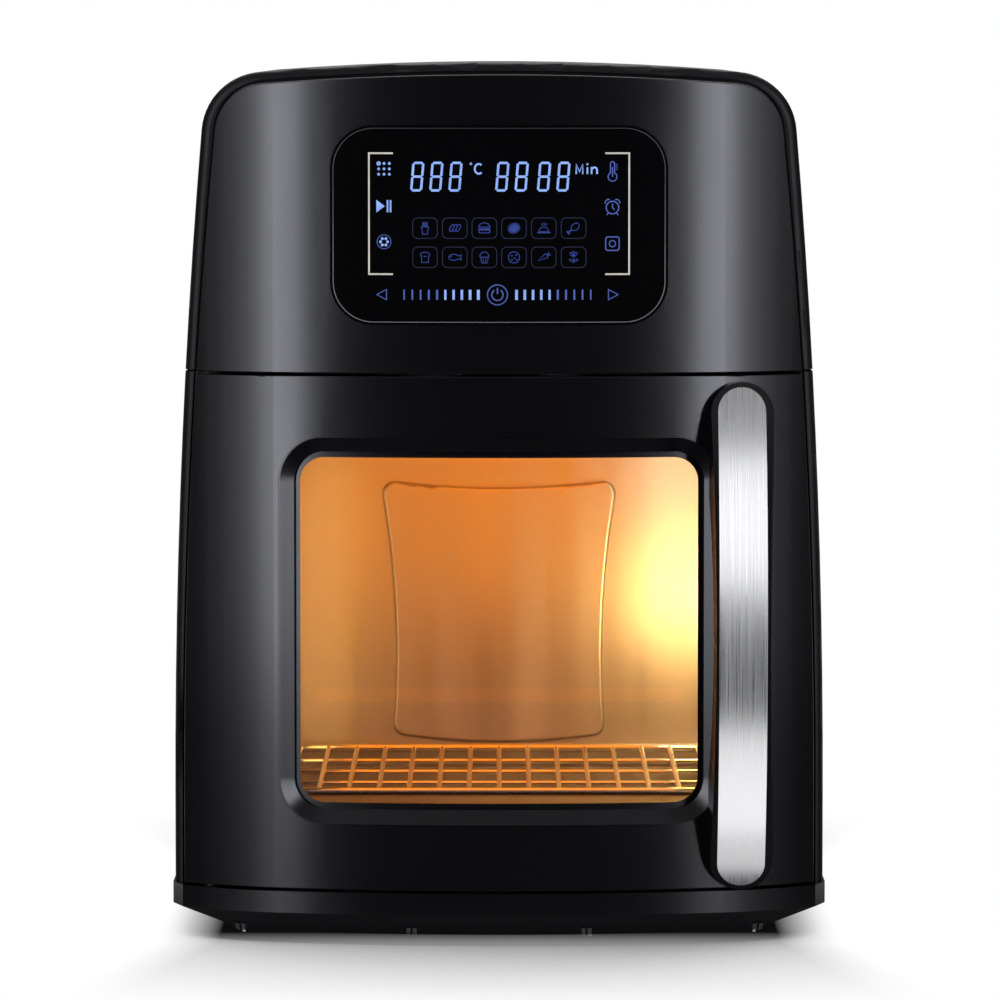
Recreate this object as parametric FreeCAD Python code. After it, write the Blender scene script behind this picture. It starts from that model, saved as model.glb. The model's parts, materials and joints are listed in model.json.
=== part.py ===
import FreeCAD, Part
import math
import os

# An oven-style air fryer: an upright body with a bowed front, a touch panel above and
# a window door below that swings on pins at its left edge.
# Millimetres. +X is right, -Y is the front, +Z is up. The origin is under the middle of
# the whole object, on the surface that it stands on.

V = FreeCAD.Vector
X_AXIS = V(1, 0, 0)
Y_AXIS = V(0, 1, 0)
Z_AXIS = V(0, 0, 1)

# Overall sizes
shell_width = 284.4
total_height = 381.0
body_depth = 292.0
handle_reach = 24.0
gland_reach = 8.0

# Outline of the body: sides that lean in above taper_start, a crowned top, round corners
shell_taper = 3425.0
front_taper = 2950.0
taper_start = 60.0
crown_radius = 1380.0
front_corner = 22.0
shell_corner = 27.5
side_step = 4.8
top_step = 5.0

# Bowed front: a wide middle arc between two tighter side arcs
front_mid_rise = 11.18
front_side_radius = 100.0
front_side_run = 40.0

# Heights
foot_height = 2.2
chamfer_top = 13.2
base_top = 22.6
door_bottom = 23.6
seam_height = 247.0
seam_gap = 1.0

# Walls, sheets and fits
skin = 3.0
shell_wall = 2.5
sheet = 1.0
thin_sheet = 0.8
running_fit = 0.05
seat_fit = 0.15
body_gap = 0.3
edge_round = 0.6

# How far a cutting block runs past what it cuts, and the bow past the crease
past = 1.0
bow_past = 10.0
# How near an edge lies to a plane or surface that it counts as on
near = 0.05

# Shell rim behind the front plates
door_edge = 11.0
rim_gap = 2.0
rim_depth = 2.8
rim_clear = 1.5
rim_round = 4.0
flange_wall = 1.5
flange_width = 12.0
rear_round = 18.0
vent_gap = 30.0
vent_length = 54.0
vent_count = 6
tongue_wall = 1.3
tongue_depth = 4.5
tongue_rear_gap = 24.0

# Base
base_lip = 0.8
base_wall = 3.0
base_floor = 3.0
base_rear_corner = 22.0
front_chamfer = 14.0
side_chamfer = 27.0
plate_margin = 8.0
tab_places = (38.0, 113.0)
tab_width = 1.7
tab_pitch = 2.7
tab_height = 3.4
foot_radius = 9.0
foot_x = 92.0
foot_inset = 52.0
pillar_size = 7.0
pillar_x = 80.0
pillar_inset = 52.0

# Touch panel
panel_half = 72.6
panel_drop = 21.7
panel_height = 85.6
panel_corner = 18.5
panel_thick = 2.2
panel_window_margin = 8.0
board_gap = 9.0
board_thick = 1.6
post_radius = 3.0
post_inset = 4.0

# Door window
window_side_margin = 51.3
window_low_margin = 37.6
window_high_margin = 35.4
window_corner = 10.5
bezel_slope = 6.6
bezel_fall = 3.7
bezel_lip = 2.6
bezel_depth = 6.5
bezel_land = 0.4
lip_thick = 1.0
bezel_flange = 4.0
glass_thick = 3.5
glass_overlap = 4.0
liner_overlap = 5.0
sight_margin = 6.0
gasket_inset = 2.0
gasket_width = 6.0

# Door hinge and catch
hinge_inset = 11.6
hinge_setback = 7.7
hinge_edge_extra = 0.5
pin_radius = 2.5
bush_wall = 1.5
bush_flange = 2.0
bush_flange_thick = 0.6
bush_length = 18.0
pin_seat = 12.0
pin_end_gap = 2.0
boss_wall = 3.0
catch_rise = 111.4
catch_length = 30.0
catch_width = 7.0
catch_gap = 0.5
strike_thick = 1.0

# Handle
handle_inset = 32.8
handle_top_gap = 2.7
handle_drop = 0.4
handle_back_half = 14.4
handle_front_half = 11.6
handle_bar = 12.0
handle_bow = 33.0
grip_margin = 24.0
inlay_half = 10.3
inlay_end = 2.2
inlay_thick = 0.8
inlay_proud = 0.2
handle_screw_radius = 2.0
handle_screw_head = 4.0
handle_screw_reach = 8.0
handle_boss = 5.5
handle_boss_rise = 1.0
handle_end_taper = 1.0

# Oven cavity
cavity_side_gap = 27.4
cavity_floor_lift = 15.4
cavity_top_gap = 14.5
cavity_corner = 10.0
cavity_rear_gap = 46.0
emboss_top_gap = 46.0
emboss_top_half = 56.0
emboss_low_half = 50.0
emboss_bottom_gap = 28.0
emboss_dip = 4.0
emboss_depth = 3.0
emboss_corner = 6.0
emboss_round = 1.8
rail_first_lift = 19.0
rail_pitch = 27.0
rail_top_gap = 35.0
rail_reach = 6.0
rail_height = 2.4
rail_round = 0.96
rail_strip = 10.0
sensor_radius = 2.0
sensor_reach = 26.0
sensor_inset = 30.0
sensor_drop = 17.0
sensor_tail = 6.0
sensor_collar = 4.0
lamp_y = 25.0
lamp_bay = 2
lamp_length = 50.0
lamp_height = 18.0
lamp_lens_thick = 2.0
lamp_depth = 22.0
bulb_radius = 5.0
bulb_length = 6.0
bulb_foot = 4.0

# Rack and tray
rack_side_radius = 2.0
rack_wire_radius = 1.2
rack_wire_count = 15
rack_cross_count = 3
rack_margin = 8.0
rack_side_gap = 2.0
slide_play = 10.0
door_clear = 2.0
tray_height = 13.0
tray_rim = 3.0
tray_side_gap = 6.0
tray_round = 4.0

# Fan, heater and motor stack above the cavity
ceiling_hole = 86.0
guard_thick = 1.2
guard_rings = (8.0, 23.5, 45.5, 67.5, 90.0)
guard_bar = 3.0
guard_bars = 4
element_radius = 3.2
element_height = 8.0
element_outer = 76.0
element_inner = 54.0
element_bend = 10.0
element_lead = 14.0
element_exit = 104.0
element_turn = 320.0
element_return = 8.0
clip_width = 8.0
clip_angles = (180.0, 270.0, 360.0)
shroud_radius = 94.0
shroud_height = 35.0
fan_radius = 70.0
fan_blades = 12
fan_height = 13.0
fan_lift = 18.0
fan_lean = 20.0
fan_eye = 31.5
shaft_radius = 3.0
hub_radius = 8.0
nut_height = 4.0
nut_radius = 6.0
bracket_lift = 12.0
bracket_thick = 3.0
bracket_radius = 40.0
leg_count = 3
leg_radius = 4.0
leg_inset = 5.0
motor_radius = 32.0
motor_height = 38.0
rotor_radius = 20.0
rotor_gap = 2.0
motor_round = 2.0
bearing_radius = 8.0
bearing_height = 3.0
cooling_radius = 42.0
cooling_blades = 9
cooling_height = 12.0
cooling_lift = 6.0
cooling_lean = 30.0
cooling_eye = 18.9
shaft_spare = 1.0

# Electrical pieces on the heat shield
shield_side = 14.0
shield_front_gap = 20.0
shield_overhang = 32.0
supply_width = 52.0
supply_length = 80.0
supply_inset = 9.0
supply_lift = 6.0
transformer_size = (28.0, 30.0, 24.0)
relay_size = (18.0, 14.0, 15.0)
capacitor_radius = 6.0
capacitor_height = 20.0
capacitor_pitch = 15.0
capacitor_margin = 1.5
fuse_radius = 2.6
fuse_length = 16.0
fuse_inset = 24.0
fuse_forward = 40.0

# Rear
cover_half = 100.0
cover_top_gap = 52.0
cover_flange = 5.0
cover_flange_thick = 2.0
grille_half = 60.0
grille_low = 262.0
grille_high = 312.0
slot_width = 3.4
slot_round = 1.53
slot_pitch = 8.0
gland_x = -70.0
gland_z = 48.0
gland_bore = 3.75
gland_radius = 8.0
gland_flange = 3.0
gland_flange_thick = 2.0
gland_nose = 6.0
screw_radius = 1.6
screw_head = 3.2
screw_length = 8.0
screw_inset = 8.0
screw_sink = 0.2
slot_length = 40.0
slot_rise = 50.0
grille_margin = 6.0
grille_lip = 3.0

# Door switch
switch_x = 60.0
plunger_radius = 1.8
plunger_gap = 0.3
plunger_travel = 1.5
switch_half = 11.0
switch_depth = 16.0
switch_wall = 3.0

# Places worked out from the sizes above
total_depth = body_depth + handle_reach + gland_reach
front_y = handle_reach - total_depth / 2
rear_y = front_y + body_depth
shell_half = shell_width / 2
base_half = shell_half + base_lip
front_half = shell_half - side_step
front_apex = total_height - top_step
front_family = (front_half, front_apex, front_corner, front_taper)
shell_family = (shell_half, total_height, shell_corner, shell_taper)
base_bottom = foot_height + thin_sheet
door_top = seam_height - seam_gap / 2
upper_bottom = seam_height + seam_gap / 2

window_half = front_half - window_side_margin
window_low = door_bottom + window_low_margin
window_high = door_top - window_high_margin
cavity_floor = base_top + cavity_floor_lift
cavity_ceiling = door_top - cavity_top_gap
emboss_top = cavity_ceiling - emboss_top_gap
emboss_bottom = cavity_floor + emboss_bottom_gap
rail_first = cavity_floor + rail_first_lift
rail_count = int((cavity_ceiling - rail_top_gap - rail_first) / rail_pitch) + 1
catch_height = door_bottom + catch_rise

mid_half = front_half - front_side_run
front_mid_radius = (mid_half ** 2 + front_mid_rise ** 2) / (2 * front_mid_rise)
mid_angle = math.asin(mid_half / front_mid_radius)
mid_centre_y = front_y + front_mid_radius
side_centre_x = math.sin(mid_angle) * (front_mid_radius - front_side_radius)
side_centre_y = mid_centre_y - math.cos(mid_angle) * (front_mid_radius - front_side_radius)
reach_angle = math.asin((front_half + bow_past - side_centre_x) / front_side_radius)


def surface_y(x, inset=0.0):
    """Depth of the bowed front at x, set in by inset."""
    x = abs(x)
    mid_radius = front_mid_radius - inset
    if x <= math.sin(mid_angle) * mid_radius:
        return mid_centre_y - math.sqrt(mid_radius ** 2 - x ** 2)
    side_radius = front_side_radius - inset
    return side_centre_y - math.sqrt(side_radius ** 2 - (x - side_centre_x) ** 2)


crease_y = surface_y(front_half)
door_back = crease_y + door_edge
through_front = door_back - front_y + handle_reach + bow_past
rim_front = door_back + rim_gap
flange_front = rim_front + rim_depth
frame_front = flange_front + flange_wall
liner_front = frame_front + sheet
cavity_back = rear_y - cavity_rear_gap
cavity_half = front_half - cavity_side_gap
cavity_mid_y = (liner_front + cavity_back) / 2
liner_back = door_back + sheet
hinge_x = hinge_inset - front_half
hinge_y = door_back - hinge_setback
hinge_edge_radius = hinge_inset + hinge_edge_extra
bush_radius = pin_radius + running_fit + bush_wall
handle_x = front_half - handle_inset
ledge_clear = cavity_half - rail_reach
sensor_x = cavity_half - sensor_inset
sensor_z = cavity_ceiling - sensor_drop
gasket_top = cavity_ceiling + gasket_inset + gasket_width
switch_z = (gasket_top + door_top - skin / 2) / 2
switch_back = liner_front + switch_depth
shelf_back = cavity_back - sheet - emboss_depth - rack_margin
lamp_z = rail_first + rail_pitch * (lamp_bay + 0.5)
panel_high = front_apex - panel_drop
panel_low = panel_high - panel_height


def line(a, b):
    return Part.LineSegment(a, b).toShape()


def arc(a, middle, b):
    return Part.Arc(a, middle, b).toShape()


def prism(edges, way):
    """Solid swept by the closed outline along way."""
    return Part.Face(Part.Wire(edges)).extrude(way)


def flip(point):
    return V(-point.x, point.y, point.z)


def box(x0, x1, y0, y1, z0, z1):
    return Part.makeBox(x1 - x0, y1 - y0, z1 - z0, V(x0, y0, z0))


def rod(place, axis, radius, length):
    return Part.makeCylinder(radius, length, place, axis)


def ring(place, axis, outer, inner, length):
    return rod(place, axis, outer, length).cut(rod(place, axis, inner, length))


def fuse(shapes):
    return shapes[0].multiFuse(shapes[1:]).removeSplitter()


def edges_along(shape, axis):
    """Straight edges that run along axis."""
    found = []
    for edge in shape.Edges:
        if edge.Curve.TypeId == "Part::GeomLine":
            run = edge.Vertexes[-1].Point.sub(edge.Vertexes[0].Point)
            if abs(run.dot(axis)) > 0.999 * run.Length:
                found.append(edge)
    return found


def round_box(x0, x1, y0, y1, z0, z1, radius, axis):
    """Block whose four edges along axis are rounded."""
    block = box(x0, x1, y0, y1, z0, z1)
    return block.makeFillet(radius, edges_along(block, axis))


def slab(z0, z1):
    """All space between two heights."""
    return box(-shell_width, shell_width, -total_depth, total_depth, z0, z1)


def stadium(x, z0, z1, half, y):
    """Upright round-ended outline in the plane at y."""
    low = z0 + half
    high = z1 - half
    right_low = V(x + half, y, low)
    right_high = V(x + half, y, high)
    left_low = V(x - half, y, low)
    left_high = V(x - half, y, high)
    return [
        line(right_low, right_high),
        arc(right_high, V(x, y, z1), left_high),
        line(left_high, left_low),
        arc(left_low, V(x, y, z0), right_low),
    ]


def plan_prism(inset, back_y, z0, z1):
    """Everything behind the bowed front, set in by inset, as far back as back_y."""
    side_radius = front_side_radius - inset

    def on_side(angle):
        x = side_centre_x + side_radius * math.sin(angle)
        return V(x, side_centre_y - side_radius * math.cos(angle), z0)

    joint = on_side(mid_angle)
    half_way = on_side((mid_angle + reach_angle) / 2)
    end = on_side(reach_angle)
    nose = V(0, front_y + inset, z0)
    back = V(end.x, back_y, z0)
    edges = [
        arc(flip(joint), nose, joint),
        arc(joint, half_way, end),
        line(end, back),
        line(back, flip(back)),
        line(flip(back), flip(end)),
        arc(flip(end), flip(half_way), flip(joint)),
    ]
    return prism(edges, V(0, 0, z1 - z0))


def plan_band(outer_inset, inner_inset, z0, z1):
    """Curved slab that follows the bowed front between two insets."""
    back_y = crease_y + front_side_run
    outer = plan_prism(outer_inset, back_y, z0, z1)
    return outer.cut(plan_prism(inner_inset, back_y + past, z0, z1))


def unit(vector):
    return V(vector).normalize()


def outline_prism(family, offset, y0, y1):
    """Front-view outline of the body grown by offset, from y0 to y1."""
    half, apex, corner, taper_radius = family
    side = V(half - taper_radius, y0, taper_start)
    crown = V(0, y0, apex - crown_radius)
    side_reach = taper_radius - corner
    crown_reach = crown_radius - corner
    across = crown - side
    distance = across.Length
    along = (side_reach ** 2 - crown_reach ** 2 + distance ** 2) / (2 * distance)
    up = math.sqrt(side_reach ** 2 - along ** 2)
    way = unit(across)
    centre = side + way * along + V(-way.z, 0, way.x) * up
    from_side = unit(centre - side)
    from_crown = unit(centre - crown)
    foot = V(half + offset, y0, 0)
    start = V(half + offset, y0, taper_start)
    leaning = side + unit(from_side + X_AXIS) * (taper_radius + offset)
    corner_start = side + from_side * (taper_radius + offset)
    corner_middle = centre + unit(from_side + from_crown) * (corner + offset)
    corner_end = crown + from_crown * (crown_radius + offset)
    top = V(0, y0, apex + offset)
    edges = [
        line(flip(foot), foot),
        line(foot, start),
        arc(start, leaning, corner_start),
        arc(corner_start, corner_middle, corner_end),
        arc(corner_end, top, flip(corner_end)),
        arc(flip(corner_end), flip(corner_middle), flip(corner_start)),
        arc(flip(corner_start), flip(leaning), flip(start)),
        line(flip(start), flip(foot)),
    ]
    return prism(edges, V(0, y1 - y0, 0))


def front_plate(inset, offset, back_y, z0, z1):
    """Solid of a front plate between two heights, its front set in by inset."""
    plan = plan_prism(inset, back_y, z0, z1)
    return plan.common(outline_prism(front_family, offset, front_y - past, back_y + past))


def perimeter_edges(solid, inset, z0, z1):
    """Edges round the bowed front face of a front plate, without its inner ones."""
    found = []
    for edge in solid.Edges:
        middle = edge.valueAt((edge.FirstParameter + edge.LastParameter) / 2)
        on_front = abs(middle.y - surface_y(middle.x, inset)) < near
        on_border = min(abs(middle.z - z0), abs(middle.z - z1)) < near
        ends = [point.Point.x for point in edge.Vertexes]
        on_side = min(abs(x) for x in ends) > mid_half + near and not on_border
        if on_front and (on_border or on_side):
            found.append(edge)
    return found


def base_wire(z, front_in, side_in, rear_in):
    """Plan outline of the base at z, drawn in at the front, sides and rear."""
    inset = front_in - base_lip
    mid_radius = front_mid_radius - inset
    side_radius = front_side_radius - inset
    crease_x = front_half + base_lip - side_in
    crease_angle = math.asin((crease_x - side_centre_x) / side_radius)

    def on_side(angle):
        x = side_centre_x + side_radius * math.sin(angle)
        return V(x, side_centre_y - side_radius * math.cos(angle), z)

    joint = on_side(mid_angle)
    half_way = on_side((mid_angle + crease_angle) / 2)
    crease = on_side(crease_angle)
    side_x = base_half - side_in
    rear = rear_y + base_lip - rear_in
    shoulder = V(side_x, rim_front, z)
    turn = V(side_x, rear - base_rear_corner, z)
    turn_end = V(side_x - base_rear_corner, rear, z)
    bulge = base_rear_corner * (1.0 - math.sqrt(0.5))
    turn_middle = V(side_x - bulge, rear - bulge, z)
    nose = V(0, mid_centre_y - mid_radius, z)
    return [
        arc(flip(joint), nose, joint),
        arc(joint, half_way, crease),
        line(crease, shoulder),
        line(shoulder, turn),
        arc(turn, turn_middle, turn_end),
        line(turn_end, flip(turn_end)),
        arc(flip(turn_end), flip(turn_middle), flip(turn)),
        line(flip(turn), flip(shoulder)),
        line(flip(shoulder), flip(crease)),
        arc(flip(crease), flip(half_way), flip(joint)),
    ]


def base_loft(z0, insets0, z1, insets1):
    """Tapered block between two plan outlines of the base."""
    low = Part.Wire(base_wire(z0, *insets0))
    high = Part.Wire(base_wire(z1, *insets1))
    return Part.makeLoft([low, high], True, True)


def base_block(grow):
    """Outside of the base: a chamfered foot under an upright band, grown by grow."""
    low_insets = (front_chamfer - grow, side_chamfer - grow, front_chamfer - grow)
    high_insets = (-grow, -grow, -grow)
    foot = base_loft(base_bottom, low_insets, chamfer_top, high_insets)
    band = prism(base_wire(chamfer_top, *high_insets), V(0, 0, base_top - chamfer_top))
    return fuse([foot, band])


def make_base():
    """Moulded tray that carries the panels, the cavity and the lower hinge pin."""
    floor = base_bottom + base_floor
    low_insets = (front_chamfer, side_chamfer, front_chamfer)
    high_insets = (2 * base_wall, 3 * base_wall, 2 * base_wall)
    hollow_low = base_loft(floor, low_insets, chamfer_top, high_insets)
    hollow_edges = base_wire(chamfer_top, base_wall, base_wall, base_wall)
    hollow_high = prism(hollow_edges, V(0, 0, base_top))
    outside = base_block(0.0)
    tray = outside.cut(hollow_low).cut(hollow_high)
    boss = rod(V(hinge_x, hinge_y, base_bottom), Z_AXIS, pin_radius + boss_wall, base_top - base_bottom)
    pieces = [tray, boss.common(outside)]
    for x in (-pillar_x, pillar_x):
        for y in (liner_front + pillar_inset, cavity_back - pillar_inset):
            half = pillar_size / 2
            pieces.append(box(x - half, x + half, y - half, y + half, base_bottom, cavity_floor - thin_sheet))
    hole = rod(V(hinge_x, hinge_y, base_top - pin_seat), Z_AXIS, pin_radius, pin_seat)
    return fuse(pieces).cut(hole)


def make_base_plate():
    """Steel plate under the base, with pairs of tabs bent up over its front edge."""
    inset = front_chamfer + plate_margin
    plate = prism(base_wire(foot_height, inset, side_chamfer + plate_margin, inset), V(0, 0, thin_sheet))
    skin_block = base_block(thin_sheet).cut(base_block(0.0))
    under = prism(base_wire(foot_height, front_chamfer - thin_sheet, side_chamfer - thin_sheet,
                            front_chamfer - thin_sheet), V(0, 0, thin_sheet))
    bridge = max(tab_places) + tab_pitch
    pieces = [plate, box(-bridge, bridge, rim_front, liner_front, foot_height, base_bottom)]
    for place in tab_places:
        for side in (-1, 1):
            for step in (-0.5, 0.5):
                middle = side * place + step * tab_pitch
                strip = box(middle - tab_width / 2, middle + tab_width / 2, front_y, liner_front,
                            foot_height, base_bottom)
                tab = box(middle - tab_width / 2, middle + tab_width / 2, front_y, liner_front,
                          base_bottom, base_bottom + tab_height)
                pieces.append(strip.common(under))
                pieces.append(tab.common(skin_block))
    return fuse(pieces)


def make_foot(x, y):
    """Turned pad with a rounded lower edge."""
    pad = rod(V(x, y, 0), Z_AXIS, foot_radius, foot_height)
    low = [edge for edge in pad.Edges if edge.BoundBox.ZMax < foot_height / 2]
    return pad.makeFillet(foot_height / 3, low)


def edges_at(block, y):
    """Edges in the upright plane at y, without the one along the ground."""
    found = []
    for edge in block.Edges:
        bounds = edge.BoundBox
        if abs(bounds.YMin - y) < near and abs(bounds.YMax - y) < near and bounds.ZMax > near:
            found.append(edge)
    return found


def shell_block(offset, y0, y1, rear_radius):
    """Whole shell outline as a block with its rear edge rounded over."""
    block = outline_prism(shell_family, offset, y0, y1)
    return block.makeFillet(rear_radius, edges_at(block, y1))


def shell_skin():
    """Side, top and rear wall with a thick front rim and an inner flange."""
    outside = shell_block(0.0, rim_front, rear_y, rear_round)
    nose = edges_at(outside, rim_front)
    outside = outside.makeFillet(rim_round, nose)
    inside = shell_block(-shell_wall, frame_front, rear_y - shell_wall, rear_round - shell_wall)
    opening = outline_prism(front_family, rim_clear, rim_front - past, flange_front)
    throat = outline_prism(front_family, -flange_width, flange_front, frame_front)
    return outside.cut(inside).cut(opening).cut(throat)


cover_low = base_top + seam_gap
cover_high = total_height - cover_top_gap


def rear_opening():
    return box(-cover_half, cover_half, rear_y - 2 * shell_wall, rear_y + past, base_top - past, cover_high)


def side_vents(z0):
    """Row of upright slots through both side walls, near the rear."""
    slots = []
    z1 = z0 + vent_length
    for index in range(vent_count):
        y = rear_y - rear_round - slot_pitch * (index + 1.5)
        slots.append(box(-shell_width, shell_width, y - slot_width / 2, y + slot_width / 2, z0, z1))
    return Part.makeCompound(slots)


def make_side_panels(skin_shape):
    """Left and right lower panels, cut from the one shell outline."""
    lower = skin_shape.common(slab(base_top, door_top)).cut(rear_opening())
    lower = lower.cut(side_vents(seam_height - vent_gap - vent_length))
    left, right = sorted(lower.Solids, key=lambda solid: solid.CenterOfMass.x)
    return left, right


def make_upper_shell(skin_shape):
    """Top cover, with a tongue that locates it inside the side panels."""
    upper = skin_shape.common(slab(upper_bottom, total_height + past)).cut(rear_opening())
    upper = upper.cut(side_vents(seam_height + vent_gap))
    rear = rear_y - tongue_rear_gap
    outer = outline_prism(shell_family, -shell_wall, liner_front, rear)
    inner = outline_prism(shell_family, -shell_wall - tongue_wall, liner_front - past, rear + past)
    tongue = outer.cut(inner).common(slab(seam_height - tongue_depth, seam_height + tongue_depth))
    return fuse([upper, tongue])


def panel_block(grow):
    """Rounded block of the touch glass outline, grown by grow."""
    half = panel_half + grow
    return round_box(-half, half, front_y - past, door_back, panel_low - grow, panel_high + grow,
                     panel_corner + grow, Y_AXIS)


def make_front_panel():
    """Upper front plate with a seat for the touch glass and the upper hinge boss."""
    outside = front_plate(0.0, 0.0, flange_front, upper_bottom, total_height)
    inside = front_plate(skin, -skin, flange_front + past, upper_bottom + skin, total_height)
    boss = rod(V(hinge_x, hinge_y, upper_bottom), Z_AXIS, pin_radius + boss_wall, pin_seat + skin)
    panel = fuse([outside.cut(inside), boss.common(outside)])
    panel = panel.makeFillet(edge_round, perimeter_edges(panel, 0.0, upper_bottom, total_height))
    seat = panel_block(seat_fit).common(plan_band(-past, panel_thick, panel_low - past, panel_high + past))
    window = panel_block(-panel_window_margin)
    hole = rod(V(hinge_x, hinge_y, upper_bottom), Z_AXIS, pin_radius, pin_seat)
    return panel.cut(seat).cut(window).cut(hole)


def make_control_glass():
    """Dark touch glass that follows the bow of the front."""
    return panel_block(0.0).common(plan_band(0.0, panel_thick, panel_low - past, panel_high + past))


def make_display_board():
    """Circuit board with a light box behind the touch glass, on four posts."""
    low = panel_low
    high = panel_high
    half = panel_half - post_radius
    back = surface_y(half, skin) + board_gap
    pieces = [box(-half, half, back - board_thick, back, low, high)]
    inside = plan_prism(skin, back, low, high)
    for x in (-half + post_inset, half - post_inset):
        for z in (low + post_inset, high - post_inset):
            post = rod(V(x, front_y, z), Y_AXIS, post_radius, back - board_thick - front_y)
            pieces.append(post.common(inside))
    margin = panel_window_margin + 2 * post_radius
    light_box = box(-half + margin, half - margin, front_y, back - board_thick, low + margin, high - margin)
    pieces.append(light_box.common(plan_prism(skin + body_gap, back, low, high)))
    return fuse(pieces)


def trim_hinge_edge(solid):
    """Round the door's hinge edge about the pin, so that it turns clear of the body."""
    corner = box(hinge_x - 2 * hinge_edge_radius, hinge_x - pin_radius, hinge_y - 3 * hinge_edge_radius,
                 hinge_y + 3 * hinge_edge_radius, 0, total_height)
    barrel = rod(V(hinge_x, hinge_y, 0), Z_AXIS, hinge_edge_radius, total_height)
    return solid.cut(corner.cut(barrel))


def bezel_seat(grow, y0, y1):
    """Rounded block of the bezel's outside, grown by grow."""
    reach = bezel_slope + bezel_lip + grow
    return round_box(-window_half - reach, window_half + reach, y0, y1,
                     window_low - reach, window_high + reach, window_corner + reach, Y_AXIS)


def window_block(grow, y0, y1):
    """Rounded block of the clear window, grown by grow."""
    return round_box(-window_half - grow, window_half + grow, y0, y1,
                     window_low - grow, window_high + grow, window_corner + grow, Y_AXIS)


handle_low = door_bottom - handle_drop
handle_high = door_top - handle_top_gap
handle_mid = (handle_low + handle_high) / 2
handle_front = front_y - handle_reach + inlay_proud
handle_chord = (handle_high - handle_low) / 2
bow_radius = (handle_chord ** 2 + handle_bow ** 2) / (2 * handle_bow)
inlay_low = handle_low + inlay_end
inlay_high = handle_high - inlay_end
handle_screw_places = (handle_low + handle_back_half, handle_high - handle_back_half)


def make_door_frame():
    """Moulded door front with hinge bosses, a window opening and handle bosses."""
    outside = front_plate(0.0, 0.0, door_back, door_bottom, door_top)
    outside = trim_hinge_edge(outside)
    inside = front_plate(skin, -skin, door_back + past, door_bottom + skin, door_top - skin)
    frame = outside.cut(inside)
    boss_radius = bush_radius + boss_wall
    pieces = [frame]
    for z in (door_bottom, door_top - bush_length - skin):
        boss = rod(V(hinge_x, hinge_y, z), Z_AXIS, boss_radius, bush_length + skin)
        pieces.append(boss.common(outside))
    for z in handle_screw_places:
        length = handle_boss_back() - front_y
        boss = rod(V(handle_x, front_y, z), Y_AXIS, handle_boss, length)
        pieces.append(boss.common(plan_prism(skin / 2, door_back, door_bottom, door_top)))
    frame = fuse(pieces)
    frame = frame.makeFillet(edge_round, perimeter_edges(frame, 0.0, door_bottom, door_top))
    frame = frame.cut(bezel_seat(seat_fit, front_y - past, door_back))
    for z in (door_bottom, door_top - bush_length):
        frame = frame.cut(rod(V(hinge_x, hinge_y, z), Z_AXIS, bush_radius, bush_length))
    for z in handle_screw_places:
        frame = frame.cut(rod(V(handle_x, front_y, z), Y_AXIS, handle_screw_radius, through_front))
    return frame


def handle_boss_back():
    """Flat inner end of the bosses that the handle screws bear on."""
    return surface_y(handle_x + handle_boss, skin) + handle_boss_rise


def make_window_bezel():
    """Sloped frame round the glass, held by a flange behind the door skin."""
    back = bezel_depth + glass_thick
    ring_block = bezel_seat(0.0, front_y - past, door_back)
    ring_part = ring_block.common(plan_band(0.0, back, door_bottom, door_top))
    flange = bezel_seat(bezel_flange, front_y - past, door_back)
    flange = flange.common(plan_band(skin, skin + flange_wall, door_bottom, door_top))
    bezel = fuse([ring_part, flange])
    bezel = bezel.cut(window_block(bezel_lip, front_y - past, door_back))
    mouth = []
    for edge in bezel.Edges:
        middle = edge.valueAt((edge.FirstParameter + edge.LastParameter) / 2)
        on_front = abs(middle.y - surface_y(middle.x)) < near
        inside_x = abs(middle.x) < window_half + bezel_lip + near
        inside_z = window_low - bezel_lip - near < middle.z < window_high + bezel_lip + near
        if on_front and inside_x and inside_z:
            mouth.append(edge)
    bezel = bezel.makeChamfer(bezel_slope - bezel_land, bezel_fall, mouth)
    lip = bezel_seat(lip_thick - bezel_slope, front_y - past, door_back)
    lip = lip.common(plan_band(bezel_depth - lip_thick, bezel_depth, door_bottom, door_top))
    lip = lip.cut(window_block(0.0, front_y - past, door_back))
    seat = window_block(glass_overlap + seat_fit, front_y - past, door_back)
    seat = seat.common(plan_band(bezel_depth, back + past, door_bottom, door_top))
    return fuse([bezel, lip]).cut(seat)


def make_outer_glass():
    """Bowed front glass behind the bezel's lip."""
    block = window_block(glass_overlap, front_y - past, door_back)
    return block.common(plan_band(bezel_depth, bezel_depth + glass_thick, door_bottom, door_top))


def make_door_liner():
    """Steel inner plate that closes the door's back."""
    plate = outline_prism(front_family, -skin / 2, door_back, liner_back)
    plate = plate.common(slab(door_bottom + skin / 2, door_top - skin / 2))
    left = box(-shell_width, hinge_x - skin, front_y, rear_y, 0, total_height)
    return plate.cut(left).cut(window_block(sight_margin, door_back - past, liner_back + past))


def make_inner_glass():
    """Flat glass held against the liner, inside the door, and wider than its opening all round."""
    return window_block(sight_margin + liner_overlap, door_back - glass_thick, door_back)


def make_door_gasket():
    """Seal round the cavity mouth, on the door liner."""
    back = frame_front - body_gap
    inner = gasket_inset
    outer = gasket_inset + gasket_width
    low = cavity_floor - outer
    high = cavity_ceiling + outer
    half = cavity_half + outer
    solid = round_box(-half, half, liner_back, back, low, high, cavity_corner + outer, Y_AXIS)
    nose = [edge for edge in solid.Edges if edge.BoundBox.YMin > back - near]
    solid = solid.makeFillet(gasket_width / 4, nose)
    half = cavity_half + inner
    hole = round_box(-half, half, liner_back - past, back + past, cavity_floor - inner,
                     cavity_ceiling + inner, cavity_corner + inner, Y_AXIS)
    return solid.cut(hole)


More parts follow.
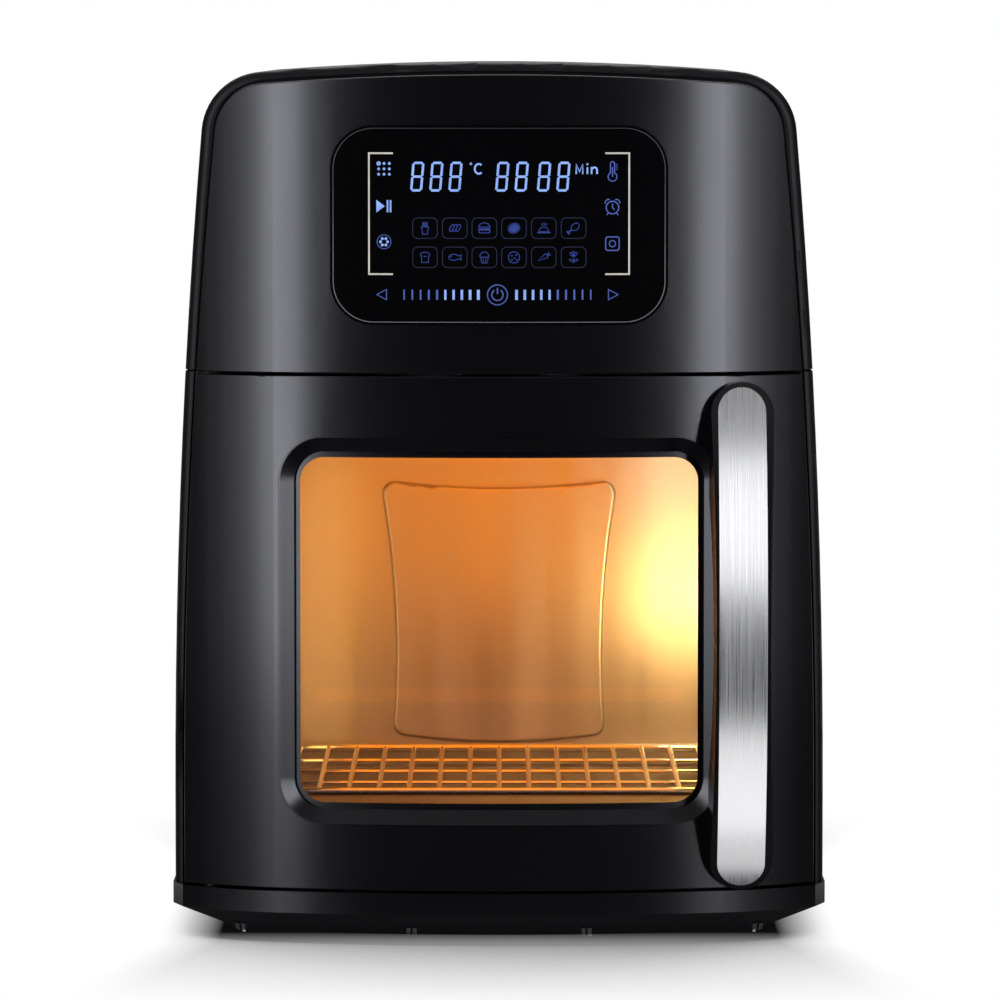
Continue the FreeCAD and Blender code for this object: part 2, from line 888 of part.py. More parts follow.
def bow_prism(offset):
    """Everything behind the handle's bowed front face, moved out by offset."""
    centre_y = handle_front + bow_radius
    radius = bow_radius + offset
    reach = handle_chord + past
    depth = centre_y - math.sqrt(radius ** 2 - reach ** 2)
    x = handle_x - 2 * handle_back_half
    low = V(x, depth, handle_mid - reach)
    high = V(x, depth, handle_mid + reach)
    nose = V(x, centre_y - radius, handle_mid)
    low_back = V(x, door_back, handle_mid - reach)
    high_back = V(x, door_back, handle_mid + reach)
    edges = [arc(low, nose, high), line(high, high_back), line(high_back, low_back), line(low_back, low)]
    return prism(edges, V(4 * handle_back_half, 0, 0))


def inlay_block(grow):
    """Upright round-ended block of the inlay's outline."""
    edges = stadium(handle_x, inlay_low - grow, inlay_high + grow, inlay_half + grow, handle_front - bow_past)
    return prism(edges, V(0, through_front, 0))


def make_handle():
    """Bowed grip with sloped sides whose two ends stand on the door."""
    wide = Part.Wire(stadium(handle_x, handle_low, handle_high, handle_back_half, surface_y(handle_x) + skin))
    narrow = Part.Wire(stadium(handle_x, handle_low + handle_end_taper, handle_high - handle_end_taper,
                               handle_front_half, handle_front))
    block = Part.makeLoft([wide, narrow], True, True).common(bow_prism(0.0))
    low = V(handle_x - 2 * handle_back_half, door_back, handle_low + grip_margin)
    high = V(low.x, door_back, handle_high - grip_margin)
    nose = V(low.x, handle_front + handle_bar, handle_mid)
    gap = prism([arc(low, nose, high), line(high, low)], V(4 * handle_back_half, 0, 0))
    door = plan_prism(0.0, door_back, base_top, door_top)
    grip = block.cut(gap).cut(door)
    recess = bow_prism(past).cut(bow_prism(-inlay_thick)).common(inlay_block(seat_fit))
    grip = grip.cut(recess)
    for z in handle_screw_places:
        depth = surface_y(handle_x) - handle_screw_reach
        grip = grip.cut(rod(V(handle_x, depth, z), Y_AXIS, handle_screw_radius, through_front))
    return grip


def make_handle_inlay():
    """Curved metal strip let into the front of the grip."""
    return bow_prism(inlay_proud).cut(bow_prism(-inlay_thick)).common(inlay_block(0.0))


def make_handle_screws():
    """Pan-head screws from inside the door into the handle's ends."""
    screws = []
    back = handle_boss_back()
    for z in handle_screw_places:
        tip = surface_y(handle_x) - handle_screw_reach
        shank = rod(V(handle_x, tip, z), Y_AXIS, handle_screw_radius, back - tip)
        head = rod(V(handle_x, back, z), Y_AXIS, handle_screw_head, handle_screw_radius)
        screws.append(fuse([shank, head]))
    return Part.makeCompound(screws)


def make_bush(z, up):
    """Flanged bush in the door; up is the way that it goes into the door."""
    axis = V(0, 0, up)
    inner = pin_radius + running_fit
    sleeve = ring(V(hinge_x, hinge_y, z), axis, bush_radius, inner, bush_length)
    flange = ring(V(hinge_x, hinge_y, z), V(0, 0, -up), bush_radius + bush_flange, inner, bush_flange_thick)
    return fuse([sleeve, flange])


def make_pin(z, up):
    """Hinge pin that stands pin_seat deep in the body and reaches into the door's bush."""
    axis = V(0, 0, up)
    length = pin_seat + seam_gap + bush_length - pin_end_gap
    pin = rod(V(hinge_x, hinge_y, z - up * pin_seat), axis, pin_radius, length)
    tip_z = z + up * (length - pin_seat)
    tip = [edge for edge in pin.Edges if abs(edge.CenterOfMass.z - tip_z) < near]
    return pin.makeChamfer(pin_radius / 3, tip)


catch_x = front_half - flange_width / 2 - rim_clear
catch_z0 = catch_height - catch_length / 2


def make_strike_plate():
    """Steel plate on the door liner that the magnet holds."""
    x0 = catch_x - catch_width / 2
    return box(x0, x0 + catch_width, liner_back, liner_back + strike_thick, catch_z0, catch_z0 + catch_length)


def make_catch_magnet():
    """Magnet on the body's flange, just clear of the strike plate."""
    x0 = catch_x - catch_width / 2
    front = liner_back + strike_thick + catch_gap
    return box(x0, x0 + catch_width, front, flange_front, catch_z0, catch_z0 + catch_length)


def make_front_frame():
    """Steel frame round the cavity mouth, standing in the base."""
    half = front_half - flange_width / 2
    floor = base_bottom + base_floor
    wide = box(-half, half, frame_front, liner_front, base_top + sheet, door_top - body_gap)
    leg = box(-pillar_x, pillar_x, frame_front, liner_front, floor, base_top + sheet)
    mouth = round_box(-cavity_half, cavity_half, frame_front - past, liner_front + past,
                      cavity_floor, cavity_ceiling, cavity_corner, Y_AXIS)
    hole = rod(V(switch_x, frame_front - past, switch_z), Y_AXIS, plunger_radius + 2 * body_gap,
               sheet + 2 * past)
    return fuse([wide, leg]).cut(mouth).cut(hole)


def make_door_switch():
    """Switch box behind the frame, bored for its plunger."""
    case = box(switch_x - switch_half, switch_x + switch_half, liner_front, switch_back,
               switch_z - switch_half, switch_z + switch_half)
    case = case.common(slab(cavity_ceiling + thin_sheet + body_gap, total_height))
    bore = rod(V(switch_x, liner_front, switch_z), Y_AXIS, plunger_radius + running_fit,
               switch_depth - switch_wall)
    return case.cut(bore)


def make_plunger():
    """Push pin that the closed door holds in."""
    front = liner_back + plunger_gap
    length = switch_back - switch_wall - plunger_travel - body_gap - front
    pin = rod(V(switch_x, front, switch_z), Y_AXIS, plunger_radius, length)
    nose = [edge for edge in pin.Edges if edge.BoundBox.YMax < front + near]
    return pin.makeFillet(plunger_radius / 2, nose)


def lamp_window(grow, x0, x1):
    """Rounded block of the lamp window in the right wall."""
    z0 = lamp_z - lamp_height / 2
    y0 = lamp_y - lamp_length / 2
    return round_box(x0, x1, y0 - grow, y0 + lamp_length + grow, z0 - grow, z0 + lamp_height + grow,
                     lamp_height / 3, X_AXIS)



def make_oven_liner():
    """Wrapped sheet of the cavity's floor, sides and ceiling, with a round hole for the heater."""
    half = cavity_half + thin_sheet
    outer = round_box(-half, half, liner_front, cavity_back, cavity_floor - thin_sheet,
                      cavity_ceiling + thin_sheet, cavity_corner + thin_sheet, Y_AXIS)
    inner = round_box(-cavity_half, cavity_half, liner_front - past, cavity_back + past,
                      cavity_floor, cavity_ceiling, cavity_corner, Y_AXIS)
    hole = rod(V(0, cavity_mid_y, cavity_ceiling - past), Z_AXIS, ceiling_hole, 4 * past)
    lamp = lamp_window(-lamp_lens_thick, cavity_half - past, cavity_half + 2 * past)
    return outer.cut(inner).cut(hole).cut(lamp)


def make_back_panel():
    """Back wall of the cavity with a large raised panel pressed in it."""
    back = cavity_back
    plate = round_box(-cavity_half, cavity_half, back - sheet, back, cavity_floor, cavity_ceiling,
                      cavity_corner, Y_AXIS)
    y = back - sheet - emboss_depth
    top_right = V(emboss_top_half, y, emboss_top)
    low_right = V(emboss_low_half, y, emboss_bottom)
    waist = V((emboss_top_half + emboss_low_half) / 2 - emboss_dip, y, (emboss_top + emboss_bottom) / 2)
    dip = V(0, y, emboss_top - emboss_dip)
    sag = V(0, y, emboss_bottom - emboss_dip)
    edges = [
        arc(flip(top_right), dip, top_right),
        arc(top_right, waist, low_right),
        arc(low_right, sag, flip(low_right)),
        arc(flip(low_right), flip(waist), flip(top_right)),
    ]
    raised = prism(edges, V(0, emboss_depth, 0))
    raised = raised.makeFillet(emboss_corner, edges_along(raised, Y_AXIS))
    front = [edge for edge in raised.Edges if edge.BoundBox.YMax < y + near]
    raised = raised.makeFillet(emboss_round, front)
    sensor = rod(V(sensor_x, back - 2 * past, sensor_z), Y_AXIS, sensor_radius, 4 * past)
    return fuse([plate, raised]).cut(sensor)


def make_rack_rails(side):
    """Ledges that carry the rack, on two upright strips; side is -1 or 1."""
    wall = side * cavity_half
    pieces = []

    def ledge(y0, y1, z0, z1, reach):
        inner = wall - side * reach
        return box(min(wall, inner), max(wall, inner), y0, y1, z0, z1)

    low = cavity_floor + cavity_corner
    high = rail_first + rail_pitch * (rail_count - 1) + rail_strip
    for y in (liner_front + rack_margin, cavity_back - sheet - rack_margin - rail_strip):
        pieces.append(ledge(y, y + rail_strip, low, high, thin_sheet))
    for index in range(rail_count):
        z = rail_first + rail_pitch * index
        bar = ledge(liner_front + rack_margin, cavity_back - sheet - rack_margin,
                    z - rail_height / 2, z + rail_height / 2, rail_reach)
        nose = [edge for edge in edges_along(bar, Y_AXIS) if abs(edge.BoundBox.XMin - wall) > rail_reach / 2]
        pieces.append(bar.makeFillet(rail_round, nose))
    return fuse(pieces)


def make_wire_rack():
    """Welded wire shelf on the lowest ledges."""
    z = rail_first + rail_height / 2 + rack_side_radius + body_gap
    half = cavity_half - rack_side_radius - rack_side_gap
    front = liner_back + door_clear + slide_play + rack_side_radius
    back = shelf_back
    pieces = []
    for x in (-half, half):
        pieces.append(rod(V(x, front, z), Y_AXIS, rack_side_radius, back - front))
        for y in (front, back):
            pieces.append(Part.makeSphere(rack_side_radius, V(x, y, z)))
    for y in (front, back):
        pieces.append(rod(V(-half, y, z), X_AXIS, rack_side_radius, 2 * half))
    pitch = 2 * half / (rack_wire_count + 1)
    for index in range(rack_wire_count):
        x = -half + pitch * (index + 1)
        pieces.append(rod(V(x, front, z), Y_AXIS, rack_wire_radius, back - front))
    step = (back - front) / (rack_cross_count + 1)
    for index in range(rack_cross_count):
        y = front + step * (index + 1)
        start = V(-ledge_clear + sheet, y, z - rack_wire_radius)
        pieces.append(rod(start, X_AXIS, rack_wire_radius, 2 * (ledge_clear - sheet)))
    return fuse(pieces)


def make_drip_tray():
    """Shallow pressed tray on the cavity floor, with a turned-out rim."""
    low = cavity_floor + body_gap
    high = low + tray_height
    front = liner_back + door_clear + slide_play + tray_rim
    back = shelf_back
    half = cavity_half - tray_side_gap
    outer = round_box(-half, half, front, back, low, high, cavity_corner, Z_AXIS)
    bottom = [edge for edge in outer.Edges if edge.BoundBox.ZMax < low + near]
    outer = outer.makeFillet(tray_round, bottom)
    wall = sheet
    inner = round_box(-half + wall, half - wall, front + wall, back - wall, low + wall, high + past,
                      cavity_corner - wall, Z_AXIS)
    bottom = [edge for edge in inner.Edges if edge.BoundBox.ZMax < low + wall + near]
    inner = inner.makeFillet(tray_round - wall, bottom)
    rim = round_box(-half - tray_rim, half + tray_rim, front - tray_rim, back + tray_rim, high - wall, high,
                    cavity_corner + tray_rim, Z_AXIS)
    return fuse([outer, rim]).cut(inner)


def fan_axis(z):
    return V(0, cavity_mid_y, z)


shroud_low = cavity_ceiling + thin_sheet
shroud_top = shroud_low + shroud_height
element_z = cavity_ceiling + element_height
fan_low = cavity_ceiling + fan_lift
shield_top = shroud_top + thin_sheet
bracket_low = shield_top + bracket_lift
motor_low = bracket_low + bracket_thick
motor_top = motor_low + motor_height
cooling_low = motor_top + cooling_lift


def make_heater_guard():
    """Flat wire-form guard under the heater: rings joined by crossing bars."""
    low = cavity_ceiling - guard_thick
    pieces = []
    for radius in guard_rings:
        inner = radius - guard_bar
        pieces.append(ring(fan_axis(low), Z_AXIS, radius, inner, guard_thick))
    reach = guard_rings[-1] - guard_bar / 2
    for index in range(guard_bars):
        bar = box(-reach, reach, -guard_bar / 2, guard_bar / 2, low, cavity_ceiling)
        bar.rotate(V(0, 0, 0), Z_AXIS, 180.0 / guard_bars * index)
        bar.translate(V(0, cavity_mid_y, 0))
        pieces.append(bar)
    return fuse(pieces)


def element_path():
    """Hairpin route of the heater: out round one way, back round inside, leads to the rear."""
    def at(u, v):
        return V(u, cavity_mid_y + v, element_z)

    def polar(radius, degrees):
        angle = math.radians(degrees)
        return at(-radius * math.sin(angle), radius * math.cos(angle))

    lead_u = -element_lead
    bend_u = lead_u - element_bend
    reach = element_outer + element_bend
    bend_v = math.sqrt(reach ** 2 - bend_u ** 2)
    start_angle = math.degrees(math.atan2(-bend_u, bend_v))
    turn_angle = element_turn
    turn_radius = (element_outer - element_inner) / 2
    turn_mid = (element_outer + element_inner) / 2
    inner_reach = element_inner + element_bend
    inner_u = element_return - element_bend
    inner_v = math.sqrt(inner_reach ** 2 - inner_u ** 2)
    end_angle = math.degrees(math.atan2(-inner_u, inner_v))
    tip = polar(turn_mid, turn_angle)
    out_way = unit(polar(turn_mid, turn_angle + 90.0) - at(0, 0))
    first_bend = V(bend_u, cavity_mid_y + bend_v, element_z)
    last_bend = V(inner_u, cavity_mid_y + inner_v, element_z)
    first_middle = unit(X_AXIS + unit(at(0, 0) - first_bend)) * element_bend
    last_middle = unit(X_AXIS + unit(at(0, 0) - last_bend)) * element_bend
    quarter = (start_angle + turn_angle) / 2
    back_quarter = (turn_angle + end_angle) / 2
    return [
        line(at(lead_u, element_exit), at(lead_u, bend_v)),
        arc(at(lead_u, bend_v), first_bend + first_middle, polar(element_outer, start_angle)),
        arc(polar(element_outer, start_angle), polar(element_outer, quarter),
            polar(element_outer, turn_angle)),
        arc(polar(element_outer, turn_angle), tip + out_way * turn_radius, polar(element_inner, turn_angle)),
        arc(polar(element_inner, turn_angle), polar(element_inner, back_quarter),
            polar(element_inner, end_angle)),
        arc(polar(element_inner, end_angle), last_bend + last_middle,
            at(inner_u + element_bend, inner_v)),
        line(at(inner_u + element_bend, inner_v), at(inner_u + element_bend, element_exit)),
    ]


def least_self_gap(edges, radius):
    """Least gap between stretches of the tube that are not neighbours along it."""
    points = []
    run = 0.0
    for edge in edges:
        count = max(4, int(edge.Length / radius))
        for point in edge.discretize(count):
            if points:
                run += point.distanceToPoint(points[-1][1])
            points.append((run, point))
    skip = 4.0 * math.pi * radius
    least = None
    for first in range(len(points)):
        for second in range(first + 1, len(points)):
            if points[second][0] - points[first][0] > skip:
                gap = points[first][1].distanceToPoint(points[second][1]) - 2 * radius
                least = gap if least is None else min(least, gap)
    return least


def make_heating_element():
    """One unbroken bent tube."""
    edges = element_path()
    print("heating element least self gap, mm:", round(least_self_gap(edges, element_radius), 2))
    start = edges[0].Vertexes[0].Point
    section = Part.Wire(Part.makeCircle(element_radius, start, Y_AXIS))
    return Part.Wire(edges).makePipeShell([section], True, False)


def make_heater_clips():
    """Three brackets that hold the heater up over the ceiling hole."""
    top = element_z - element_radius
    clips = []
    inner = element_inner - element_radius
    outer = ceiling_hole + clip_width / 2
    half = clip_width / 2
    for angle in clip_angles:
        arm = box(inner, outer + sheet, -half, half, top - guard_thick, top)
        leg = box(ceiling_hole + sheet, outer + sheet, -half, half, shroud_low, top)
        clip = fuse([arm, leg])
        clip.rotate(V(0, 0, 0), Z_AXIS, angle)
        clip.translate(V(0, cavity_mid_y, 0))
        clips.append(clip)
    return Part.makeCompound(clips)


def make_fan_shroud():
    """Drum over the fan, with a hole for the shaft and two for the heater leads."""
    drum = rod(fan_axis(shroud_low), Z_AXIS, shroud_radius, shroud_height)
    hollow = rod(fan_axis(shroud_low - past), Z_AXIS, shroud_radius - sheet, shroud_height + past - sheet)
    shaft = rod(fan_axis(shroud_top - 2 * sheet), Z_AXIS, hub_radius, 4 * sheet)
    shell = drum.cut(hollow).cut(shaft)
    for u in (-element_lead, element_return):
        hole = rod(V(u, cavity_mid_y, element_z), Y_AXIS, element_radius + seat_fit, shroud_radius + past)
        shell = shell.cut(hole)
    return shell


def bladed_wheel(z, radius, eye, height, blades, lean, plate_on_top):
    """Hub, plate and upright blades, bored for the shaft."""
    hub = rod(fan_axis(z), Z_AXIS, hub_radius, height)
    plate_z = z + height - sheet if plate_on_top else z
    plate = rod(fan_axis(plate_z), Z_AXIS, radius, sheet)
    pieces = [hub, plate]
    for index in range(blades):
        blade = box(eye, radius - sheet, -sheet / 2, sheet / 2, z, z + height)
        blade.rotate(V(eye, 0, 0), Z_AXIS, lean)
        blade.rotate(V(0, 0, 0), Z_AXIS, 360.0 / blades * index)
        blade.translate(V(0, cavity_mid_y, 0))
        pieces.append(blade)
    rim = rod(fan_axis(z), Z_AXIS, radius, height)
    return fuse(pieces).common(rim).cut(rod(fan_axis(z - past), Z_AXIS, shaft_radius, height + 2 * past))


def make_motor():
    """Motor can with a hollow for the rotor and a bearing seat at each end."""
    can = rod(fan_axis(motor_low), Z_AXIS, motor_radius, motor_height)
    rims = [edge for edge in can.Edges if edge.BoundBox.ZLength < near]
    can = can.makeFillet(motor_round, rims)
    hollow = rod(fan_axis(motor_low + bearing_height), Z_AXIS, rotor_radius + body_gap,
                 motor_height - 2 * bearing_height)
    seats = rod(fan_axis(motor_low), Z_AXIS, bearing_radius, motor_height)
    return can.cut(hollow).cut(seats)


def make_bearings():
    """Plain bearing at each end of the motor."""
    inner = shaft_radius + running_fit
    low = ring(fan_axis(motor_low), Z_AXIS, bearing_radius, inner, bearing_height)
    high = ring(fan_axis(motor_top - bearing_height), Z_AXIS, bearing_radius, inner, bearing_height)
    return Part.makeCompound([low, high])


def make_motor_bracket():
    """Round plate on three legs over the heat shield."""
    pieces = [rod(fan_axis(bracket_low), Z_AXIS, bracket_radius, bracket_thick)]
    reach = bracket_radius - leg_inset
    for index in range(leg_count):
        angle = 2 * math.pi * (index + 0.25) / leg_count
        place = fan_axis(shield_top) + V(reach * math.cos(angle), reach * math.sin(angle), 0)
        pieces.append(rod(place, Z_AXIS, leg_radius, bracket_lift))
    return fuse(pieces).cut(rod(fan_axis(bracket_low), Z_AXIS, hub_radius + rotor_gap, bracket_thick))


def make_shaft():
    """Motor shaft from under the hot air fan to above the cooling fan."""
    low = fan_low - nut_height - shaft_spare
    high = cooling_low + cooling_height + shaft_spare
    return rod(fan_axis(low), Z_AXIS, shaft_radius, high - low)


def make_rotor():
    """Laminated rotor on the shaft, inside the motor."""
    low = motor_low + bearing_height + rotor_gap
    height = motor_height - 2 * (bearing_height + rotor_gap)
    return ring(fan_axis(low), Z_AXIS, rotor_radius, shaft_radius, height)


def make_fan_nut():
    """Hexagon nut under the hot air fan."""
    corners = []
    for index in range(7):
        angle = math.radians(60.0 * index)
        spoke = V(nut_radius * math.cos(angle), nut_radius * math.sin(angle), 0)
        corners.append(fan_axis(fan_low - nut_height) + spoke)
    edges = [line(corners[index], corners[index + 1]) for index in range(6)]
    nut = prism(edges, V(0, 0, nut_height))
    return nut.cut(rod(fan_axis(fan_low - nut_height - past), Z_AXIS, shaft_radius, nut_height + 2 * past))


shield_half = cavity_half + shield_side
shield_front = liner_front + shield_front_gap
shield_rear = cavity_back + shield_overhang


def make_heat_shield():
    """Sheet between the hot fan housing and the motor space."""
    plate = round_box(-shield_half, shield_half, shield_front, shield_rear, shroud_top, shield_top,
                      cavity_corner, Z_AXIS)
    return plate.cut(rod(fan_axis(shroud_top - past), Z_AXIS, hub_radius, 4 * past))


def make_power_board():
    """Supply board on four posts, with a transformer, a relay and two capacitors."""
    x0 = -shield_half + supply_inset
    x1 = x0 + supply_width
    y1 = shield_rear - supply_inset
    y0 = y1 - supply_length
    low = shield_top + supply_lift
    top = low + board_thick
    pieces = [box(x0, x1, y0, y1, low, top)]
    for x in (x0 + post_inset, x1 - post_inset):
        for y in (y0 + post_inset, y1 - post_inset):
            pieces.append(rod(V(x, y, shield_top), Z_AXIS, post_radius, supply_lift))
    place_y = y0 + supply_inset
    for width, length, height in (transformer_size, relay_size):
        place_x = x0 + supply_inset
        pieces.append(box(place_x, place_x + width, place_y, place_y + length, top, top + height))
        place_y += length + supply_inset
    for step in (0, 1):
        place_y = y1 - capacitor_margin - capacitor_radius - step * capacitor_pitch
        place = V(x1 - 2 * capacitor_radius, place_y, top)
        pieces.append(rod(place, Z_AXIS, capacitor_radius, capacitor_height))
    return fuse(pieces)


def make_thermal_fuse():
    """Cut-out clipped to the heat shield."""
    x = shield_half - fuse_inset
    y = cavity_mid_y - fuse_forward
    half = 2 * fuse_radius
    clip = box(x - half, x + half, y, y + fuse_length, shield_top, shield_top + sheet)
    capsule = rod(V(x, y, shield_top + fuse_radius), Y_AXIS, fuse_radius, fuse_length)
    return fuse([clip, capsule])


def make_temperature_sensor():
    """Probe through the cavity's back wall, with a collar behind it."""
    probe = rod(V(sensor_x, cavity_back - sensor_reach, sensor_z), Y_AXIS, sensor_radius,
                sensor_reach + sensor_tail)
    collar = rod(V(sensor_x, cavity_back, sensor_z), Y_AXIS, sensor_radius + sensor_collar, sensor_collar)
    tip = [edge for edge in probe.Edges if edge.BoundBox.YMax < cavity_back - sensor_reach + near]
    return fuse([probe.makeFillet(sensor_radius / 2, tip), collar])


def make_lamp_lens():
    """Glass cover of the lamp, inside the right wall."""
    return lamp_window(0.0, cavity_half - lamp_lens_thick, cavity_half)


def make_lamp_socket():
    """Lamp housing on the outside of the right wall, open to the lens."""
    x0 = cavity_half + thin_sheet
    x1 = x0 + lamp_depth
    case = lamp_window(lamp_lens_thick, x0, x1)
    hollow = lamp_window(0.0, x0 - past, x1 - lamp_lens_thick)
    return case.cut(hollow)


def make_lamp_bulb():
    """Capsule bulb on the back wall of the lamp housing."""
    x1 = cavity_half + thin_sheet + lamp_depth - lamp_lens_thick
    foot = rod(V(x1, lamp_y, lamp_z), -X_AXIS, bulb_foot, bulb_length)
    glass = rod(V(x1 - bulb_length, lamp_y, lamp_z), -X_AXIS, bulb_radius, bulb_length)
    dome = Part.makeSphere(bulb_radius, V(x1 - 2 * bulb_length, lamp_y, lamp_z))
    return fuse([foot, glass, dome])


def slot_rows(x_half, z0, z1, y0, y1):
    """Upright slots side by side across the rear."""
    slots = []
    count = int(2 * x_half / slot_pitch)
    for index in range(count):
        x = (index - (count - 1) / 2) * slot_pitch
        slots.append(round_box(x - slot_width / 2, x + slot_width / 2, y0, y1, z0, z1,
                               slot_round, Y_AXIS))
    return Part.makeCompound(slots)


def grille_block(grow, y0, y1):
    return round_box(-grille_half - grow, grille_half + grow, y0, y1, grille_low - grow, grille_high + grow,
                     cavity_corner + grow, Y_AXIS)


cover_back = rear_y - shell_wall
screw_places = []
for screw_x in (screw_inset - cover_half, cover_half - screw_inset):
    for screw_z in (cover_low + screw_inset, seam_height - vent_gap, cover_high - screw_inset):
        screw_places.append((screw_x, screw_z))


def make_rear_cover():
    """Flush rear plate with a flange inside the shell, vents and a cord hole."""
    half = cover_half - body_gap
    plate = box(-half, half, cover_back, rear_y, cover_low, cover_high - body_gap)
    upright = edges_along(plate, Y_AXIS)
    plate = plate.makeFillet(edge_round, upright)
    flange = box(-cover_half - cover_flange, cover_half + cover_flange, cover_back - cover_flange_thick,
                 cover_back, cover_low, cover_high + cover_flange)
    cover = fuse([plate, flange])
    front = cover_back - cover_flange_thick - past
    cover = cover.cut(grille_block(seat_fit, front, rear_y + past))
    for row in (1, 2):
        z0 = cavity_floor + slot_rise * row
        cover = cover.cut(slot_rows(grille_half, z0, z0 + slot_length, front, rear_y + past))
    through = rear_y + past - front
    cover = cover.cut(rod(V(gland_x, front, gland_z), Y_AXIS, gland_radius, through))
    for x, z in screw_places:
        cover = cover.cut(rod(V(x, front, z), Y_AXIS, screw_radius, through))
        cover = cover.cut(rod(V(x, rear_y - screw_radius, z), Y_AXIS, screw_head + seat_fit, through))
    return cover


def make_exhaust_grille():
    """Slotted insert where the cooling air leaves."""
    plate = grille_block(0.0, cover_back - cover_flange_thick, rear_y)
    lip = grille_block(grille_lip, cover_back - cover_flange_thick - sheet, cover_back - cover_flange_thick)
    slots = slot_rows(grille_half - grille_margin, grille_low + grille_margin, grille_high - grille_margin,
                      cover_back - shell_wall - 2 * cover_flange_thick, rear_y + past)
    return fuse([plate, lip]).cut(slots)


def make_cord_gland():
    """Bored gland in the rear cover for the mains lead."""
    front = cover_back - cover_flange_thick
    inner = rod(V(gland_x, front - gland_flange_thick, gland_z), Y_AXIS, gland_radius + gland_flange,
                gland_flange_thick)
    body = rod(V(gland_x, front, gland_z), Y_AXIS, gland_radius, rear_y - front)
    outer = rod(V(gland_x, rear_y, gland_z), Y_AXIS, gland_radius + gland_flange, gland_flange_thick)
    nose = Part.makeCone(gland_radius, gland_nose, gland_reach - gland_flange_thick,
                         V(gland_x, rear_y + gland_flange_thick, gland_z), Y_AXIS)
    bore = rod(V(gland_x, cavity_back, gland_z), Y_AXIS, gland_bore, body_depth)
    return fuse([inner, body, outer, nose]).cut(bore)


def make_case_screws():
    """Countersunk rear screws with a straight slot."""
    screws = []
    for x, z in screw_places:
        shank = rod(V(x, rear_y - screw_length, z), Y_AXIS, screw_radius, screw_length)
        head = rod(V(x, rear_y - screw_radius, z), Y_AXIS, screw_head, screw_radius - screw_sink)
        slot = box(x - screw_head, x + screw_head, rear_y - screw_radius / 2, rear_y + past,
                   z - 2 * screw_sink, z + 2 * screw_sink)
        screws.append(fuse([shank, head]).cut(slot))
    return Part.makeCompound(screws)


def all_parts():
    """Every piece by its node name."""
    shell = shell_skin()
    left, right = make_side_panels(shell)
    foot_rows = (("front", liner_front + foot_inset / 2), ("rear", rear_y - foot_inset))
    parts = {
        "base": make_base(),
        "base_plate": make_base_plate(),
        "left_side_panel": left,
        "right_side_panel": right,
        "upper_shell": make_upper_shell(shell),
        "front_panel": make_front_panel(),
        "control_glass": make_control_glass(),
        "display_board": make_display_board(),
        "rear_cover": make_rear_cover(),
        "exhaust_grille": make_exhaust_grille(),
        "cord_gland": make_cord_gland(),
        "case_screws": make_case_screws(),
        "cavity_front_frame": make_front_frame(),
        "oven_liner": make_oven_liner(),
        "cavity_back_panel": make_back_panel(),
        "left_rack_rails": make_rack_rails(-1),
        "right_rack_rails": make_rack_rails(1),
        "lamp_lens": make_lamp_lens(),
        "lamp_socket": make_lamp_socket(),
        "lamp_bulb": make_lamp_bulb(),
        "temperature_sensor": make_temperature_sensor(),
        "heater_guard": make_heater_guard(),
        "heating_element": make_heating_element(),
        "heater_clips": make_heater_clips(),
        "fan_shroud": make_fan_shroud(),
        "heat_shield": make_heat_shield(),
        "motor_bracket": make_motor_bracket(),
        "motor": make_motor(),
        "motor_bearings": make_bearings(),
        "power_board": make_power_board(),
        "thermal_fuse": make_thermal_fuse(),
        "lower_hinge_pin": make_pin(base_top, 1),
        "upper_hinge_pin": make_pin(upper_bottom, -1),
        "catch_magnet": make_catch_magnet(),
        "door_switch": make_door_switch(),
        "motor_shaft": make_shaft(),
        "motor_rotor": make_rotor(),
        "convection_fan": bladed_wheel(fan_low, fan_radius, fan_eye, fan_height, fan_blades, fan_lean, True),
        "cooling_fan": bladed_wheel(cooling_low, cooling_radius, cooling_eye, cooling_height,
                                    cooling_blades, cooling_lean, False),
        "fan_nut": make_fan_nut(),
        "door_frame": make_door_frame(),
        "window_bezel": make_window_bezel(),
        "outer_glass": make_outer_glass(),
        "inner_glass": make_inner_glass(),
        "door_liner": make_door_liner(),
        "door_gasket": make_door_gasket(),
        "lower_hinge_bush": make_bush(door_bottom, 1),
        "upper_hinge_bush": make_bush(door_top, -1),
        "strike_plate": make_strike_plate(),
        "handle": make_handle(),
        "handle_inlay": make_handle_inlay(),
        "handle_screws": make_handle_screws(),
        "wire_rack": make_wire_rack(),
        "drip_tray": make_drip_tray(),
        "switch_plunger": make_plunger(),
    }
    for row, y in foot_rows:
        for side, x in (("left", -foot_x), ("right", foot_x)):
            parts["foot_%s_%s" % (row, side)] = make_foot(x, y)
    return parts


def main():
    os.makedirs("parts", exist_ok=True)
    for name, shape in all_parts().items():
        solids = shape.Solids
        body = solids[0] if len(solids) == 1 else Part.makeCompound(solids)
        body.exportStep("parts/%s.step" % name)
        print("%-20s solids %d valid %s" % (name, len(solids), body.isValid()))


main()
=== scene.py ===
"""Looks of an oven-style air fryer: finishes, lit display, glowing oven, studio and camera."""
import json
import math

